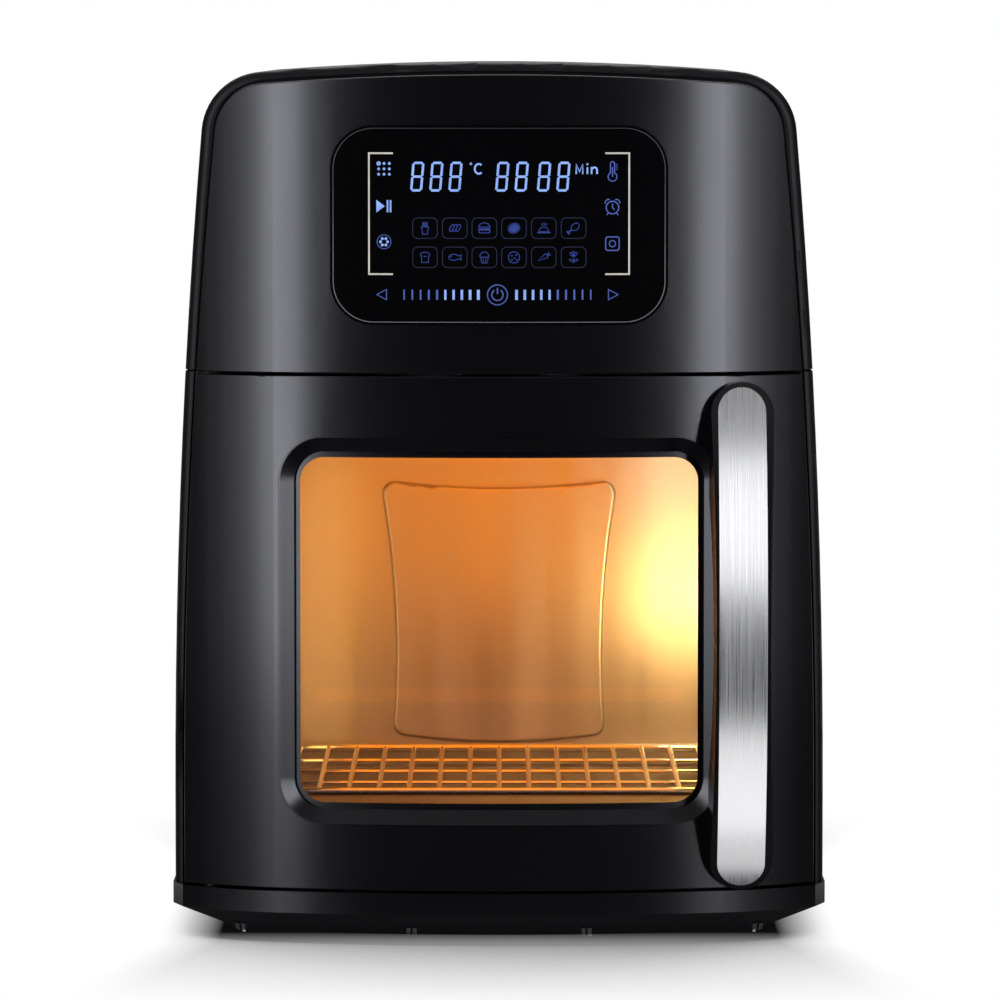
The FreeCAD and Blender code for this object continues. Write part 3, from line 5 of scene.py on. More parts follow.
import bmesh
import bpy
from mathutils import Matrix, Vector


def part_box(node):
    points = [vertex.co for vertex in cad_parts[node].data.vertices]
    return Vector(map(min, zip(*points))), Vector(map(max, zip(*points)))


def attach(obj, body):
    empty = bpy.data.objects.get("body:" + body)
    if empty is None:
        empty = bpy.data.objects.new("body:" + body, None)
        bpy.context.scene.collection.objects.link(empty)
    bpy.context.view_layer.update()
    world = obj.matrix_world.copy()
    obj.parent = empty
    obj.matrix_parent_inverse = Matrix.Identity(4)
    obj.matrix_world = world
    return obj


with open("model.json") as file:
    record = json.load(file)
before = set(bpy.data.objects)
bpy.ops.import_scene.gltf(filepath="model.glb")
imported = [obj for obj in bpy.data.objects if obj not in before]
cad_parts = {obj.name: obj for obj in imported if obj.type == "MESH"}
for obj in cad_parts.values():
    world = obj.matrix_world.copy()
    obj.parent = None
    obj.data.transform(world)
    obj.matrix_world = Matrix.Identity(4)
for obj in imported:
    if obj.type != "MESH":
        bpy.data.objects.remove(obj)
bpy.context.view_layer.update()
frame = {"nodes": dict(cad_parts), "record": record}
nodes = frame["nodes"]
scene = bpy.context.scene

MM = 0.001
WHITE = (1.0, 1.0, 1.0, 1.0)

# Materials: small node builders. Noise mostly stays between these two values
NOISE_LOW, NOISE_HIGH = 0.3, 0.7
DRIFT_SCALE, GLOSS_SCALE, GLOSS_SWING = 14.0, 35.0, 0.03
SMEAR_SCALE, SMEAR_ROUGHNESS, SMEAR_START, SMEAR_END, GLASS_IOR = 22.0, 0.02, 0.45, 0.75, 1.5
LINE_GLOSS_LOW, LINE_GLOSS_HIGH = 0.8, 1.25
UNLIT_GRAPHIC, GRAPHIC_ROUGHNESS, GRAPHIC_SCALE = (0.004, 0.004, 0.005), 0.15, 160.0


def new_material(name, colour, roughness, metallic=0.0, **constants):
    """Material with a Principled shader that holds these plain values; returns it, its tree and shader."""
    made = bpy.data.materials.new(name)
    made.use_nodes = True
    shader = made.node_tree.nodes["Principled BSDF"]
    shader.inputs["Base Color"].default_value = (*colour, 1.0)
    shader.inputs["Roughness"].default_value = roughness
    shader.inputs["Metallic"].default_value = metallic
    for socket, value in constants.items():
        shader.inputs[socket.replace("_", " ")].default_value = value
    return made, made.node_tree, shader


def noise(tree, per_metre, stretch=(1.0, 1.0, 1.0), detail=2.0):
    """Noise in the object's own space, with about this many features to the metre."""
    place = tree.nodes.new("ShaderNodeTexCoord")
    spread = tree.nodes.new("ShaderNodeMapping")
    spread.inputs["Scale"].default_value = stretch
    grain = tree.nodes.new("ShaderNodeTexNoise")
    grain.inputs["Scale"].default_value = per_metre
    grain.inputs["Detail"].default_value = detail
    tree.links.new(place.outputs["Object"], spread.inputs["Vector"])
    tree.links.new(spread.outputs["Vector"], grain.inputs["Vector"])
    return grain.outputs[0]


def ranged(tree, value, low, high, start=NOISE_LOW, end=NOISE_HIGH):
    """Maps a value from start..end to low..high."""
    span = tree.nodes.new("ShaderNodeMapRange")
    for socket, number in (("From Min", start), ("From Max", end), ("To Min", low), ("To Max", high)):
        span.inputs[socket].default_value = number
    tree.links.new(value, span.inputs["Value"])
    return span.outputs["Result"]


def maths(tree, operation, first, second=0.0):
    """Math node on two values or links."""
    made = tree.nodes.new("ShaderNodeMath")
    made.operation = operation
    for target, value in zip(made.inputs, (first, second)):
        if isinstance(value, bpy.types.NodeSocket):
            tree.links.new(value, target)
        else:
            target.default_value = value
    return made.outputs[0]


def coordinates(tree, space):
    """The X, Y and Z of a point in one of the spaces that textures use."""
    place = tree.nodes.new("ShaderNodeTexCoord")
    parts = tree.nodes.new("ShaderNodeSeparateXYZ")
    tree.links.new(place.outputs[space], parts.inputs["Vector"])
    return parts.outputs["X"], parts.outputs["Y"], parts.outputs["Z"]


def rising(tree, low, high):
    """Share of the way up from one height to another."""
    return ranged(tree, coordinates(tree, "Object")[2], 0.0, 1.0, low, high)


def tinted(tree, shader, value, dark, light, socket="Base Color"):
    """Colours a socket between two colours by a value."""
    ramp = tree.nodes.new("ShaderNodeValToRGB")
    ramp.color_ramp.elements[0].position = NOISE_LOW
    ramp.color_ramp.elements[0].color = (*dark, 1.0)
    ramp.color_ramp.elements[1].position = NOISE_HIGH
    ramp.color_ramp.elements[1].color = (*light, 1.0)
    tree.links.new(value, ramp.inputs["Fac"])
    tree.links.new(ramp.outputs["Color"], shader.inputs[socket])


def bumped(tree, shader, value, depth):
    """Raises the surface by a value, to this depth in metres."""
    bump = tree.nodes.new("ShaderNodeBump")
    bump.inputs["Strength"].default_value = 1.0
    bump.inputs["Distance"].default_value = depth
    tree.links.new(value, bump.inputs["Height"])
    tree.links.new(bump.outputs["Normal"], shader.inputs["Normal"])


def shade(colour, factor):
    """The same colour, lighter or darker."""
    return tuple(part * factor for part in colour)


def moulded(name, colour, roughness, grain=1800.0, depth=0.000004, spread=0.12, **constants):
    """Moulded or painted surface: fine grain, and slow drifts of tone and gloss."""
    made, tree, shader = new_material(name, colour, roughness, **constants)
    drift = noise(tree, DRIFT_SCALE, detail=3.0)
    tinted(tree, shader, drift, shade(colour, 1.0 - spread), shade(colour, 1.0 + spread))
    patches = noise(tree, GLOSS_SCALE, detail=4.0)
    gloss = ranged(tree, patches, roughness * (1.0 - GLOSS_SWING), roughness * (1.0 + GLOSS_SWING))
    tree.links.new(gloss, shader.inputs["Roughness"])
    bumped(tree, shader, noise(tree, grain), depth)
    return made


def brushed(name, colour, roughness, stretch, depth=0.000006, spread=0.1):
    """Metal with fine lines along the axis whose stretch is small."""
    made, tree, shader = new_material(name, colour, roughness, 1.0)
    lines = noise(tree, 1.0, stretch, detail=4.0)
    tinted(tree, shader, lines, shade(colour, 1.0 - spread), shade(colour, 1.0 + spread / 2))
    gloss = ranged(tree, lines, roughness * LINE_GLOSS_LOW, roughness * LINE_GLOSS_HIGH)
    tree.links.new(gloss, shader.inputs["Roughness"])
    bumped(tree, shader, lines, depth)
    return made


def glassy(name, colour, roughness):
    """Clear glass with the faint smears of a wiped pane."""
    made, tree, shader = new_material(name, colour, roughness, Transmission_Weight=1.0, IOR=GLASS_IOR)
    wiped = noise(tree, SMEAR_SCALE, detail=5.0)
    smear = ranged(tree, wiped, roughness, roughness + SMEAR_ROUGHNESS, SMEAR_START, SMEAR_END)
    tree.links.new(smear, shader.inputs["Roughness"])
    return made


def glowing(name, colour, strength, spread=0.15):
    """Lit graphics behind dark glass: even, with a little unevenness from the lamps behind."""
    made, tree, shader = new_material(name, UNLIT_GRAPHIC, GRAPHIC_ROUGHNESS, Emission_Strength=strength)
    patches = noise(tree, GRAPHIC_SCALE)
    dark, light = shade(colour, 1.0 - spread), shade(colour, 1.0 + spread)
    tinted(tree, shader, patches, dark, light, "Emission Color")
    return made


SATIN_BLACK = (0.003, 0.0031, 0.004)

finishes = {
    "shell_plastic": moulded("shell_plastic", SATIN_BLACK, 0.45, Specular_IOR_Level=0.28),
    "front_plastic": moulded("front_plastic", SATIN_BLACK, 0.18),
    "bezel_plastic": moulded("bezel_plastic", SATIN_BLACK, 0.2),
    "grille_plastic": moulded("grille_plastic", (0.012, 0.012, 0.013), 0.5, 1200.0, 0.00002),
    "touch_glass": moulded("touch_glass", (0.0018, 0.0018, 0.0022), 0.06, 300.0, 0.0000003),
    "clear_glass": glassy("clear_glass", (0.98, 0.99, 0.99), 0.0),
    "lamp_glass": glassy("lamp_glass", (1.0, 0.93, 0.8), 0.25),
    "cavity_steel": brushed("cavity_steel", (0.66, 0.62, 0.56), 0.4, (55.0, 55.0, 0.6), 0.00001, 0.06),
    "frame_steel": moulded("frame_steel", (0.05, 0.05, 0.055), 0.4, 900.0),
    "plated_steel": brushed("plated_steel", (0.66, 0.66, 0.66), 0.32, (160.0, 160.0, 160.0)),
    "inlay_steel": brushed("inlay_steel", (0.72, 0.72, 0.73), 0.3, (2200.0, 14.0, 14.0), 0.0000012, 0.03),
    "rack_chrome": brushed("rack_chrome", (0.78, 0.78, 0.78), 0.12, (60.0, 60.0, 60.0), 0.000001),
    "tray_coating": moulded("tray_coating", (0.3, 0.29, 0.28), 0.3, 1100.0, 0.00001),
    "heater_tube": moulded("heater_tube", (0.13, 0.12, 0.11), 0.55, 700.0, 0.00003, 0.3),
    "fan_aluminium": brushed("fan_aluminium", (0.72, 0.73, 0.74), 0.38, (240.0, 240.0, 240.0)),
    "motor_iron": moulded("motor_iron", (0.16, 0.16, 0.17), 0.5, 600.0, 0.00003, 0.2),
    "bearing_brass": brushed("bearing_brass", (0.72, 0.55, 0.25), 0.36, (300.0, 300.0, 300.0)),
    "board_green": moulded("board_green", (0.03, 0.16, 0.08), 0.4, 500.0, 0.00002, 0.2),
    "seal_rubber": moulded("seal_rubber", (0.03, 0.03, 0.03), 0.6, 1500.0, 0.00004),
    "foot_rubber": moulded("foot_rubber", (0.02, 0.02, 0.02), 0.65, 1500.0, 0.00004),
    "switch_plastic": moulded("switch_plastic", (0.75, 0.74, 0.7), 0.45),
}
for subpart in frame["record"]["subparts"]:
    skin = nodes[subpart["node"]].data.materials
    skin.clear()
    skin.append(finishes[subpart["material_slot"]])

# The lamp is on: its bulb glows
LAMP_COLOUR, BULB_STRENGTH = (1.0, 0.58, 0.14), 14.0
nodes["lamp_bulb"].data.materials[0] = glowing("bulb_glow", LAMP_COLOUR, BULB_STRENGTH)

# The base is of the shell's plastic, but as glossy as the front
nodes["base"].data.materials[0] = moulded("base_plastic", SATIN_BLACK, 0.18)


# Display: flat lit shapes just proud of the bowed control glass, in millimetres from the panel's middle

glass_low, glass_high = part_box("control_glass")
panel_half = glass_high.x / MM
panel_rise = (glass_high.z - glass_low.z) / 2 / MM
panel_z = (glass_low.z + glass_high.z) / 2
LIFT_BACK, LIFT_FRONT = 0.02 * MM, 0.08 * MM


def bow_of(node):
    """Radius in plan of a node's bowed front, from its points away from the middle."""
    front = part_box(node)[0].y
    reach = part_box(node)[1].x / 2
    best = 0.0
    for vertex in nodes[node].data.vertices:
        x, sag = vertex.co.x, vertex.co.y - front
        if abs(x) > reach and sag > 0.01 * MM:
            best = max(best, (x * x + sag * sag) / (2 * sag))
    return best


glass_bow = bow_of("control_glass")


def on_glass(u, v, lift):
    """Point on the control glass, u across and v up from its middle."""
    x = u * MM
    return Vector((x, glass_low.y + glass_bow - math.sqrt(glass_bow ** 2 - x ** 2) - lift, panel_z + v * MM))


class Shapes:
    """Thin closed plates on the glass, gathered into one mesh."""

    def __init__(self):
        self.mesh = bmesh.new()

    def ring(self, points):
        """Front and back vertices over each point."""
        lifts = (LIFT_FRONT, LIFT_BACK)
        return [[self.mesh.verts.new(on_glass(u, v, lift)) for u, v in points] for lift in lifts]

    def patch(self, points):
        """Filled outline, points listed anticlockwise."""
        front, back = self.ring(points)
        self.mesh.faces.new(front)
        self.mesh.faces.new(back[::-1])
        for i in range(len(points)):
            self.mesh.faces.new((front[i - 1], back[i - 1], back[i], front[i]))

    def stroke(self, points, width, closed=False):
        """Line of one width along the points."""
        left, right = offset(points, width / 2, closed), offset(points, -width / 2, closed)
        for i in range(0 if closed else 1, len(points)):
            self.patch([right[i - 1], right[i], left[i], left[i - 1]])

    def finish(self, name, material):
        """Makes the piece, which rides on the housing as the glass does."""
        bmesh.ops.recalc_face_normals(self.mesh, faces=self.mesh.faces)
        data = bpy.data.meshes.new(name)
        self.mesh.to_mesh(data)
        self.mesh.free()
        data.materials.append(material)
        piece = bpy.data.objects.new(name, data)
        scene.collection.objects.link(piece)
        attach(piece, "housing")


def offset(points, distance, closed):
    """The same path moved sideways, with mitred corners."""
    moved = []
    count = len(points)
    for i, (u, v) in enumerate(points):
        before = points[i - 1] if closed or i else None
        after = points[(i + 1) % count] if closed or i + 1 < count else None
        ways = []
        if before:
            ways.append((u - before[0], v - before[1]))
        if after:
            ways.append((after[0] - u, after[1] - v))
        normals = [(-b / math.hypot(a, b), a / math.hypot(a, b)) for a, b in ways]
        nu = sum(n[0] for n in normals) / len(normals)
        nv = sum(n[1] for n in normals) / len(normals)
        size = max(nu * nu + nv * nv, 0.25)
        moved.append((u + distance * nu / size, v + distance * nv / size))
    return moved


def arc(cu, cv, ru, rv, start, end, steps=16):
    """Points on an ellipse from one angle to another, in degrees."""
    angles = [math.radians(start + (end - start) * i / steps) for i in range(steps + 1)]
    return [(cu + ru * math.cos(a), cv + rv * math.sin(a)) for a in angles]


def circle(cu, cv, radius, steps=20):
    """Points round a full circle."""
    return arc(cu, cv, radius, radius, 0.0, 360.0 - 360.0 / steps, steps - 1)


def rounded(cu, cv, half_u, half_v, radius, steps=5, run=200.0):
    """Points round a rounded rectangle, with long straights divided into runs."""
    corners = [(cu + su * (half_u - radius), cv + sv * (half_v - radius), start)
               for su, sv, start in ((1, 1, 0), (-1, 1, 90), (-1, -1, 180), (1, -1, 270))]
    turns = [arc(u, v, radius, radius, start, start + 90, steps) for u, v, start in corners]
    points = []
    for i, turn in enumerate(turns):
        last = turns[i - 1][-1]
        gap = math.hypot(turn[0][0] - last[0], turn[0][1] - last[1])
        parts = max(1, round(gap / run))
        for k in range(1, parts):
            share = k / parts
            points.append(tuple(a + (b - a) * share for a, b in zip(last, turn[0])))
        points += turn
    return points


def turned(points, angle, cu=0.0, cv=0.0):
    """Points turned about the origin by an angle in degrees, then moved."""
    c, s = math.cos(math.radians(angle)), math.sin(math.radians(angle))
    return [(cu + u * c - v * s, cv + u * s + v * c) for u, v in points]


DIGIT_LIGHT = (0.29, 0.46, 0.98)
ICON_LIGHT = (0.085, 0.13, 0.46)
DIM_LIGHT = (0.02, 0.023, 0.055)
PICTURE_LIGHT = (0.035, 0.06, 0.27)
WARM_LIGHT = (0.6, 0.57, 0.52)
digit_glow = glowing("digit_glow", DIGIT_LIGHT, 1.0)
icon_glow = glowing("icon_glow", ICON_LIGHT, 1.0)
dim_glow = glowing("dim_glow", DIM_LIGHT, 1.0)
picture_glow = glowing("picture_glow", PICTURE_LIGHT, 1.0)
bracket_glow = glowing("bracket_glow", WARM_LIGHT, 1.0)

# Seven-segment digits
DIGIT_TOP, DIGIT_HEIGHT, DIGIT_WIDTH = 27.3, 12.8, 5.2
DIGIT_STROKE, DIGIT_LEAN, SEGMENT_GAP = 1.0, 0.085, 0.12
DIGIT_PLACES = (-35.1, -26.9, -18.7, 1.4, 9.7, 19.3, 27.6)


def digit(shapes, middle):
    """All seven segments of one leaning digit."""
    half = DIGIT_WIDTH / 2 - DIGIT_STROKE / 2
    tall = DIGIT_HEIGHT / 2 - DIGIT_STROKE / 2
    nib = DIGIT_STROKE / 2
    centre = DIGIT_TOP - DIGIT_HEIGHT / 2
    posts = {"a": (-half, tall), "b": (half, tall), "c": (-half, 0), "d": (half, 0),
             "e": (-half, -tall), "f": (half, -tall)}
    for first, last in ("ab", "cd", "ef", "ca", "db", "ec", "fd"):
        (u0, v0), (u1, v1) = posts[first], posts[last]
        length = math.hypot(u1 - u0, v1 - v0)
        along = ((u1 - u0) / length, (v1 - v0) / length)
        across = (-along[1], along[0])
        runs = (SEGMENT_GAP, nib, length - nib, length - SEGMENT_GAP, length - nib, nib)
        outline = []
        for run, side in zip(runs, (0, -nib, -nib, 0, nib, nib)):
            outline.append((u0 + along[0] * run + across[0] * side, v0 + along[1] * run + across[1] * side))
        shapes.patch([(middle + u + v * DIGIT_LEAN, centre + v) for u, v in outline])


digits = Shapes()
for place in DIGIT_PLACES:
    digit(digits, place)
# Degrees Celsius and minutes
LETTER_TOP, LETTER_HEIGHT, LETTER_STROKE, THIN_STROKE = 26.6, 4.6, 0.75, 0.75 * 0.85
DEGREE_AT, C_AT, M_LEFT, M_MIDDLE, M_RIGHT = -12.1, -8.7, 33.1, 34.5, 35.9
I_AT, N_LEFT, N_MIDDLE, N_RIGHT = 37.9, 39.7, 40.95, 42.05
foot, head = LETTER_TOP - LETTER_HEIGHT, LETTER_TOP - 0.3
digits.stroke(circle(DEGREE_AT, LETTER_TOP - 0.2, 0.42, 10), 0.3, True)
digits.stroke(arc(C_AT, LETTER_TOP - 2.35, 1.75, 2.1, 48, 312), LETTER_STROKE)
capital = [(M_LEFT, foot), (M_LEFT, head), (M_MIDDLE, foot + 1.0), (M_RIGHT, head), (M_RIGHT, foot)]
digits.stroke(capital, THIN_STROKE)
digits.stroke([(I_AT, foot), (I_AT, foot + 2.9)], LETTER_STROKE)
digits.patch(circle(I_AT, head - 0.1, 0.45, 10))
digits.stroke([(N_LEFT, foot), (N_LEFT, foot + 3.0)], LETTER_STROKE)
shoulder = arc(N_MIDDLE, foot + 1.7, 1.1, 1.15, 150, 0, 8)
digits.stroke([(N_LEFT, foot + 2.2)] + shoulder + [(N_RIGHT, foot)], LETTER_STROKE)
digits.finish("display_digits", digit_glow)

# Warm brackets at both sides
BRACKET_HALF, BRACKET_TOP, BRACKET_BOTTOM, BRACKET_ARM, BRACKET_STROKE = 55.9, 30.9, -21.0, 10.3, 0.72
brackets = Shapes()
for side in (-1, 1):
    edge, tip = side * BRACKET_HALF, side * (BRACKET_HALF - BRACKET_ARM)
    upper, lower = [(tip, BRACKET_TOP), (edge, BRACKET_TOP)], [(edge, BRACKET_BOTTOM), (tip, BRACKET_BOTTOM)]
    brackets.stroke(upper + lower, BRACKET_STROKE)
brackets.finish("display_brackets", bracket_glow)

# Touch keys down both sides
bright_keys, keys = Shapes(), Shapes()
LEFT_KEYS, RIGHT_KEYS, KEY_STROKE = -49.4, 48.7, 0.5
for row in range(3):
    for column in range(3):
        size = 0.95 if row == column == 0 else 0.6
        bright_keys.patch(circle(LEFT_KEYS + (column - 1) * 2.3, 24.2 - (row - 1) * 2.3, size, 12))
bright_keys.patch([(LEFT_KEYS - 3.3, 5.5), (LEFT_KEYS + 0.3, 8.2), (LEFT_KEYS - 3.3, 10.9)])
for bar in (1.5, 2.8):
    bright_keys.stroke([(LEFT_KEYS + bar, 5.6), (LEFT_KEYS + bar, 10.8)], 0.75)
for petal in range(6):
    bright_keys.patch(turned(circle(1.55, 0, 0.62, 10), petal * 60.0, LEFT_KEYS, -7.1))
keys.stroke(circle(LEFT_KEYS, -7.1, 3.0, 24), 0.28, True)
bulb = arc(RIGHT_KEYS, 20.8, 1.9, 1.9, 118, 422, 18)
keys.stroke(bulb + arc(RIGHT_KEYS, 26.4, 0.9, 0.9, 0, 180, 8), 0.45, True)
keys.stroke([(RIGHT_KEYS, 20.8), (RIGHT_KEYS, 25.0)], 0.5)
for mark in range(3):
    keys.stroke([(RIGHT_KEYS + 1.4, 24.0 + mark), (RIGHT_KEYS + 2.2, 24.0 + mark)], 0.3)
keys.stroke(circle(RIGHT_KEYS, 7.6, 2.7, 28), KEY_STROKE, True)
keys.stroke([(RIGHT_KEYS, 9.3), (RIGHT_KEYS, 7.5), (RIGHT_KEYS + 0.9, 6.7)], 0.45)
for side in (-1, 1):
    keys.stroke(turned(arc(0, 3.3, 1.2, 0.8, 0, 180, 8), -side * 40.0, RIGHT_KEYS, 7.6), 0.45)
    keys.stroke([(RIGHT_KEYS + side * 1.8, 5.3), (RIGHT_KEYS + side * 2.5, 4.4)], 0.45)
keys.stroke(rounded(RIGHT_KEYS, -7.9, 2.9, 2.9, 1.0), KEY_STROKE, True)
keys.stroke(circle(RIGHT_KEYS, -7.9, 1.35, 16), 0.45, True)

# Slider with a power key in its middle
SLIDER_LINE, TICK_PITCH, TICK_HALF, TICK_COUNT = -29.8, 3.545, 2.15, 10
TICK_WIDTH, TICK_TAPER, POWER_AT = 1.2, 0.065, -0.7
for first, way in ((-8.9, -1), (7.5, 1)):
    for step in range(TICK_COUNT):
        place = first + way * step * TICK_PITCH
        target = bright_keys if step < TICK_COUNT // 2 else keys
        ends = [(place, SLIDER_LINE - TICK_HALF), (place, SLIDER_LINE + TICK_HALF)]
        target.stroke(ends, TICK_WIDTH - TICK_TAPER * step)
for middle, way in ((-50.4, -1), (49.0, 1)):
    keys.stroke([(middle + way * 2.2, SLIDER_LINE), (middle - way * 2.0, SLIDER_LINE + 2.2),
                 (middle - way * 2.0, SLIDER_LINE - 2.2)], 0.35, True)
keys.stroke(circle(POWER_AT, SLIDER_LINE, 4.3, 40), 0.45, True)
keys.stroke(arc(POWER_AT, SLIDER_LINE, 2.4, 2.4, 125, 415, 24), KEY_STROKE)
keys.stroke([(POWER_AT, SLIDER_LINE + 0.4), (POWER_AT, SLIDER_LINE + 3.0)], KEY_STROKE)
bright_keys.finish("display_bright_keys", digit_glow)
keys.finish("display_keys", icon_glow)

# Twelve programme keys, each a small plain pictogram in a rounded frame
KEY_COLUMNS = (-31.8, -19.0, -6.3, 6.4, 19.2, 32.0)
KEY_ROWS = (-1.2, -13.7)
FRAME_HALF_WIDE, FRAME_HALF_HIGH, FRAME_CORNER, FRAME_STROKE, FINE = 5.3, 4.4, 2.1, 0.36, 0.34


def chips(draw):
    draw.stroke([(-1.5, 0.6), (1.5, 0.6), (1.0, -2.6), (-1.0, -2.6)], FINE, True)
    for u in (-0.9, -0.1, 0.7):
        draw.stroke([(u, 0.6), (u + 0.2, 2.6)], 0.55)


def ribs(draw):
    for u in (-1.3, 0.1, 1.5):
        draw.stroke(turned(arc(0, 0, 0.7, 1.7, 0, 345, 14), -28.0, u, 0.1), FINE, True)


def burger(draw):
    draw.stroke(arc(0, 0.5, 2.4, 1.8, 0, 180, 12), FINE, True)
    draw.stroke([(-2.5, -0.3), (2.5, -0.3)], 0.55)
    draw.stroke(rounded(0, -1.4, 2.4, 0.6, 0.5, 3), FINE, True)


def cutlet(draw):
    draw.patch(turned(arc(0, 0, 2.2, 1.7, 0, 345, 20), 20.0))
    draw.stroke(turned(arc(0, 0, 2.6, 2.1, 0, 345, 20), 20.0), 0.25, True)


def roast(draw):
    draw.stroke([(-2.9, -1.9), (2.9, -1.9)], 0.45)
    draw.stroke(arc(0, -1.5, 2.1, 2.0, 0, 180, 12), FINE, True)
    for u in (-0.9, 0.0, 0.9):
        draw.stroke([(u, 1.0), (u + 0.3, 1.6), (u, 2.3)], 0.28)


def drumstick(draw):
    draw.stroke(turned(arc(0.9, 0, 1.9, 1.4, -150, 150, 16) + [(-1.1, 0.3), (-1.1, -0.3)], 40.0), FINE, True)
    draw.stroke(turned([(-1.2, 0), (-2.9, 0)], 40.0), 0.6)
    draw.patch(turned(circle(-3.0, 0.4, 0.5, 8), 40.0))
    draw.patch(turned(circle(-3.0, -0.4, 0.5, 8), 40.0))


def bread(draw):
    crown = arc(0, 1.0, 2.0, 1.2, -20, 200, 12)
    draw.stroke([(-1.5, -2.2), (1.5, -2.2), (1.5, 0.5)] + crown + [(-1.5, 0.5)], FINE, True)
    draw.stroke([(-0.6, 0.4), (0.6, 0.4)], FINE)


def fish(draw):
    draw.stroke(arc(-0.4, 0, 2.2, 1.3, 25, 335, 16) + [(2.9, -1.2), (2.5, 0.0), (2.9, 1.2)], FINE, True)
    draw.patch(circle(-1.6, 0.3, 0.3, 8))


def cupcake(draw):
    draw.stroke([(-1.7, 0.1), (1.7, 0.1), (1.1, -2.4), (-1.1, -2.4)], FINE, True)
    draw.stroke(arc(0, 0.2, 2.0, 2.1, 0, 180, 12), FINE)
    for u in (-0.6, 0.6):
        draw.stroke([(u, -0.2), (u * 0.7, -2.2)], 0.28)


def pizza(draw):
    draw.stroke(circle(0, 0, 2.4, 24), FINE, True)
    for u, v in ((-0.9, 0.7), (0.9, 0.9), (0.1, -0.3), (-0.9, -1.1), (1.1, -0.9)):
        draw.patch(circle(u, v, 0.36, 8))


def carrot(draw):
    draw.stroke(turned([(-3.0, 0.0), (1.4, -1.0), (1.8, 0.0), (1.4, 1.0)], 32.0), FINE, True)
    for v in (-0.7, 0.0, 0.7):
        draw.stroke(turned([(1.8, v * 0.4), (3.1, v)], 32.0), 0.3)


def herb(draw):
    draw.stroke([(0, -2.6), (0, 0.6)], FINE)
    for angle in (50.0, 90.0, 130.0):
        draw.stroke(turned(arc(1.25, 0, 1.0, 0.5, 0, 340, 12), angle, 0, 0.3), 0.28, True)
    for angle in (25.0, 155.0):
        draw.stroke(turned(arc(1.1, 0, 0.9, 0.4, 0, 340, 12), angle, 0, -1.8), 0.28, True)


class Placed:
    """Draws on another set of shapes, moved to a place."""

    def __init__(self, shapes, u, v):
        self.shapes, self.u, self.v = shapes, u, v

    def moved(self, points):
        return [(self.u + a, self.v + b) for a, b in points]

    def patch(self, points):
        self.shapes.patch(self.moved(points))

    def stroke(self, points, width, closed=False):
        self.shapes.stroke(self.moved(points), width, closed)


frames, pictures = Shapes(), Shapes()
programmes = (chips, ribs, burger, cutlet, roast, drumstick, bread, fish, cupcake, pizza, carrot, herb)
for i, picture in enumerate(programmes):
    u, v = KEY_COLUMNS[i % len(KEY_COLUMNS)], KEY_ROWS[i // len(KEY_COLUMNS)]
    frames.stroke(rounded(u, v, FRAME_HALF_WIDE, FRAME_HALF_HIGH, FRAME_CORNER), FRAME_STROKE, True)
    picture(Placed(pictures, u, v))
frames.finish("display_key_frames", dim_glow)
pictures.finish("display_key_pictures", picture_glow)

# Ground edge of the glass, a fine grey line; its colour is painted lighter at its foot and darker at its
# head, a painted highlight below and painted shade above
GLASS_CORNER, RIM_INSET, RIM_WIDTH, RIM_STEPS, RIM_RUN = 18.5, 1.2, 0.35, 14, 3.0
RIM_COLOUR, RIM_ROUGHNESS = (0.1, 0.1, 0.105), 0.3
RIM_PAINTED_LIT_FOOT, RIM_PAINTED_SHADED_HEAD = (0.15, 0.15, 0.16), (0.03, 0.03, 0.032)
rim = Shapes()
rim_half, rim_rise, rim_corner = (size - RIM_INSET for size in (panel_half, panel_rise, GLASS_CORNER))
rim.stroke(rounded(0, 0, rim_half, rim_rise, rim_corner, RIM_STEPS, RIM_RUN), RIM_WIDTH, True)
ground_edge, edge_tree, edge_shader = new_material("ground_edge", RIM_COLOUR, RIM_ROUGHNESS)
# Painted highlight and shade: the rim's colour runs from light at its foot to dark at its head
tinted(edge_tree, edge_shader, rising(edge_tree, glass_low.z, glass_high.z), RIM_PAINTED_LIT_FOOT, RIM_PAINTED_SHADED_HEAD)
rim.finish("glass_rim", ground_edge)


# Studio: floor, world, lights and camera

def point_at(thing, place, target):
    """Puts a light or camera in place, facing a target."""
    thing.location = place
    thing.rotation_euler = (Vector(target) - Vector(place)).to_track_quat("-Z", "Y").to_euler()


def soft_box(name, place, target, width, height, watts, colour=(1.0, 1.0, 1.0)):
    """Rectangular studio light, unseen by the camera."""
    lamp = bpy.data.lights.new(name, "AREA")
    lamp.shape = "RECTANGLE"
    lamp.size, lamp.size_y = width, height
    lamp.energy = watts
    lamp.color = colour
    made = bpy.data.objects.new(name, lamp)
    scene.collection.objects.link(made)
    made.visible_camera = False
    point_at(made, place, target)
    return made


def light_only(lamp, node):
    """Keeps a lamp's light to one node."""
    group = bpy.data.collections.new(lamp.name)
    group.objects.link(nodes[node])
    lamp.light_linking.receiver_collection = group


def glow_point(name, place, watts, colour, radius):
    """Small warm lamp inside the oven."""
    lamp = bpy.data.lights.new(name, "POINT")
    lamp.energy = watts
    lamp.color = colour
    lamp.shadow_soft_size = radius
    made = bpy.data.objects.new(name, lamp)
    scene.collection.objects.link(made)
    made.visible_camera = False
    made.location = place
    return made


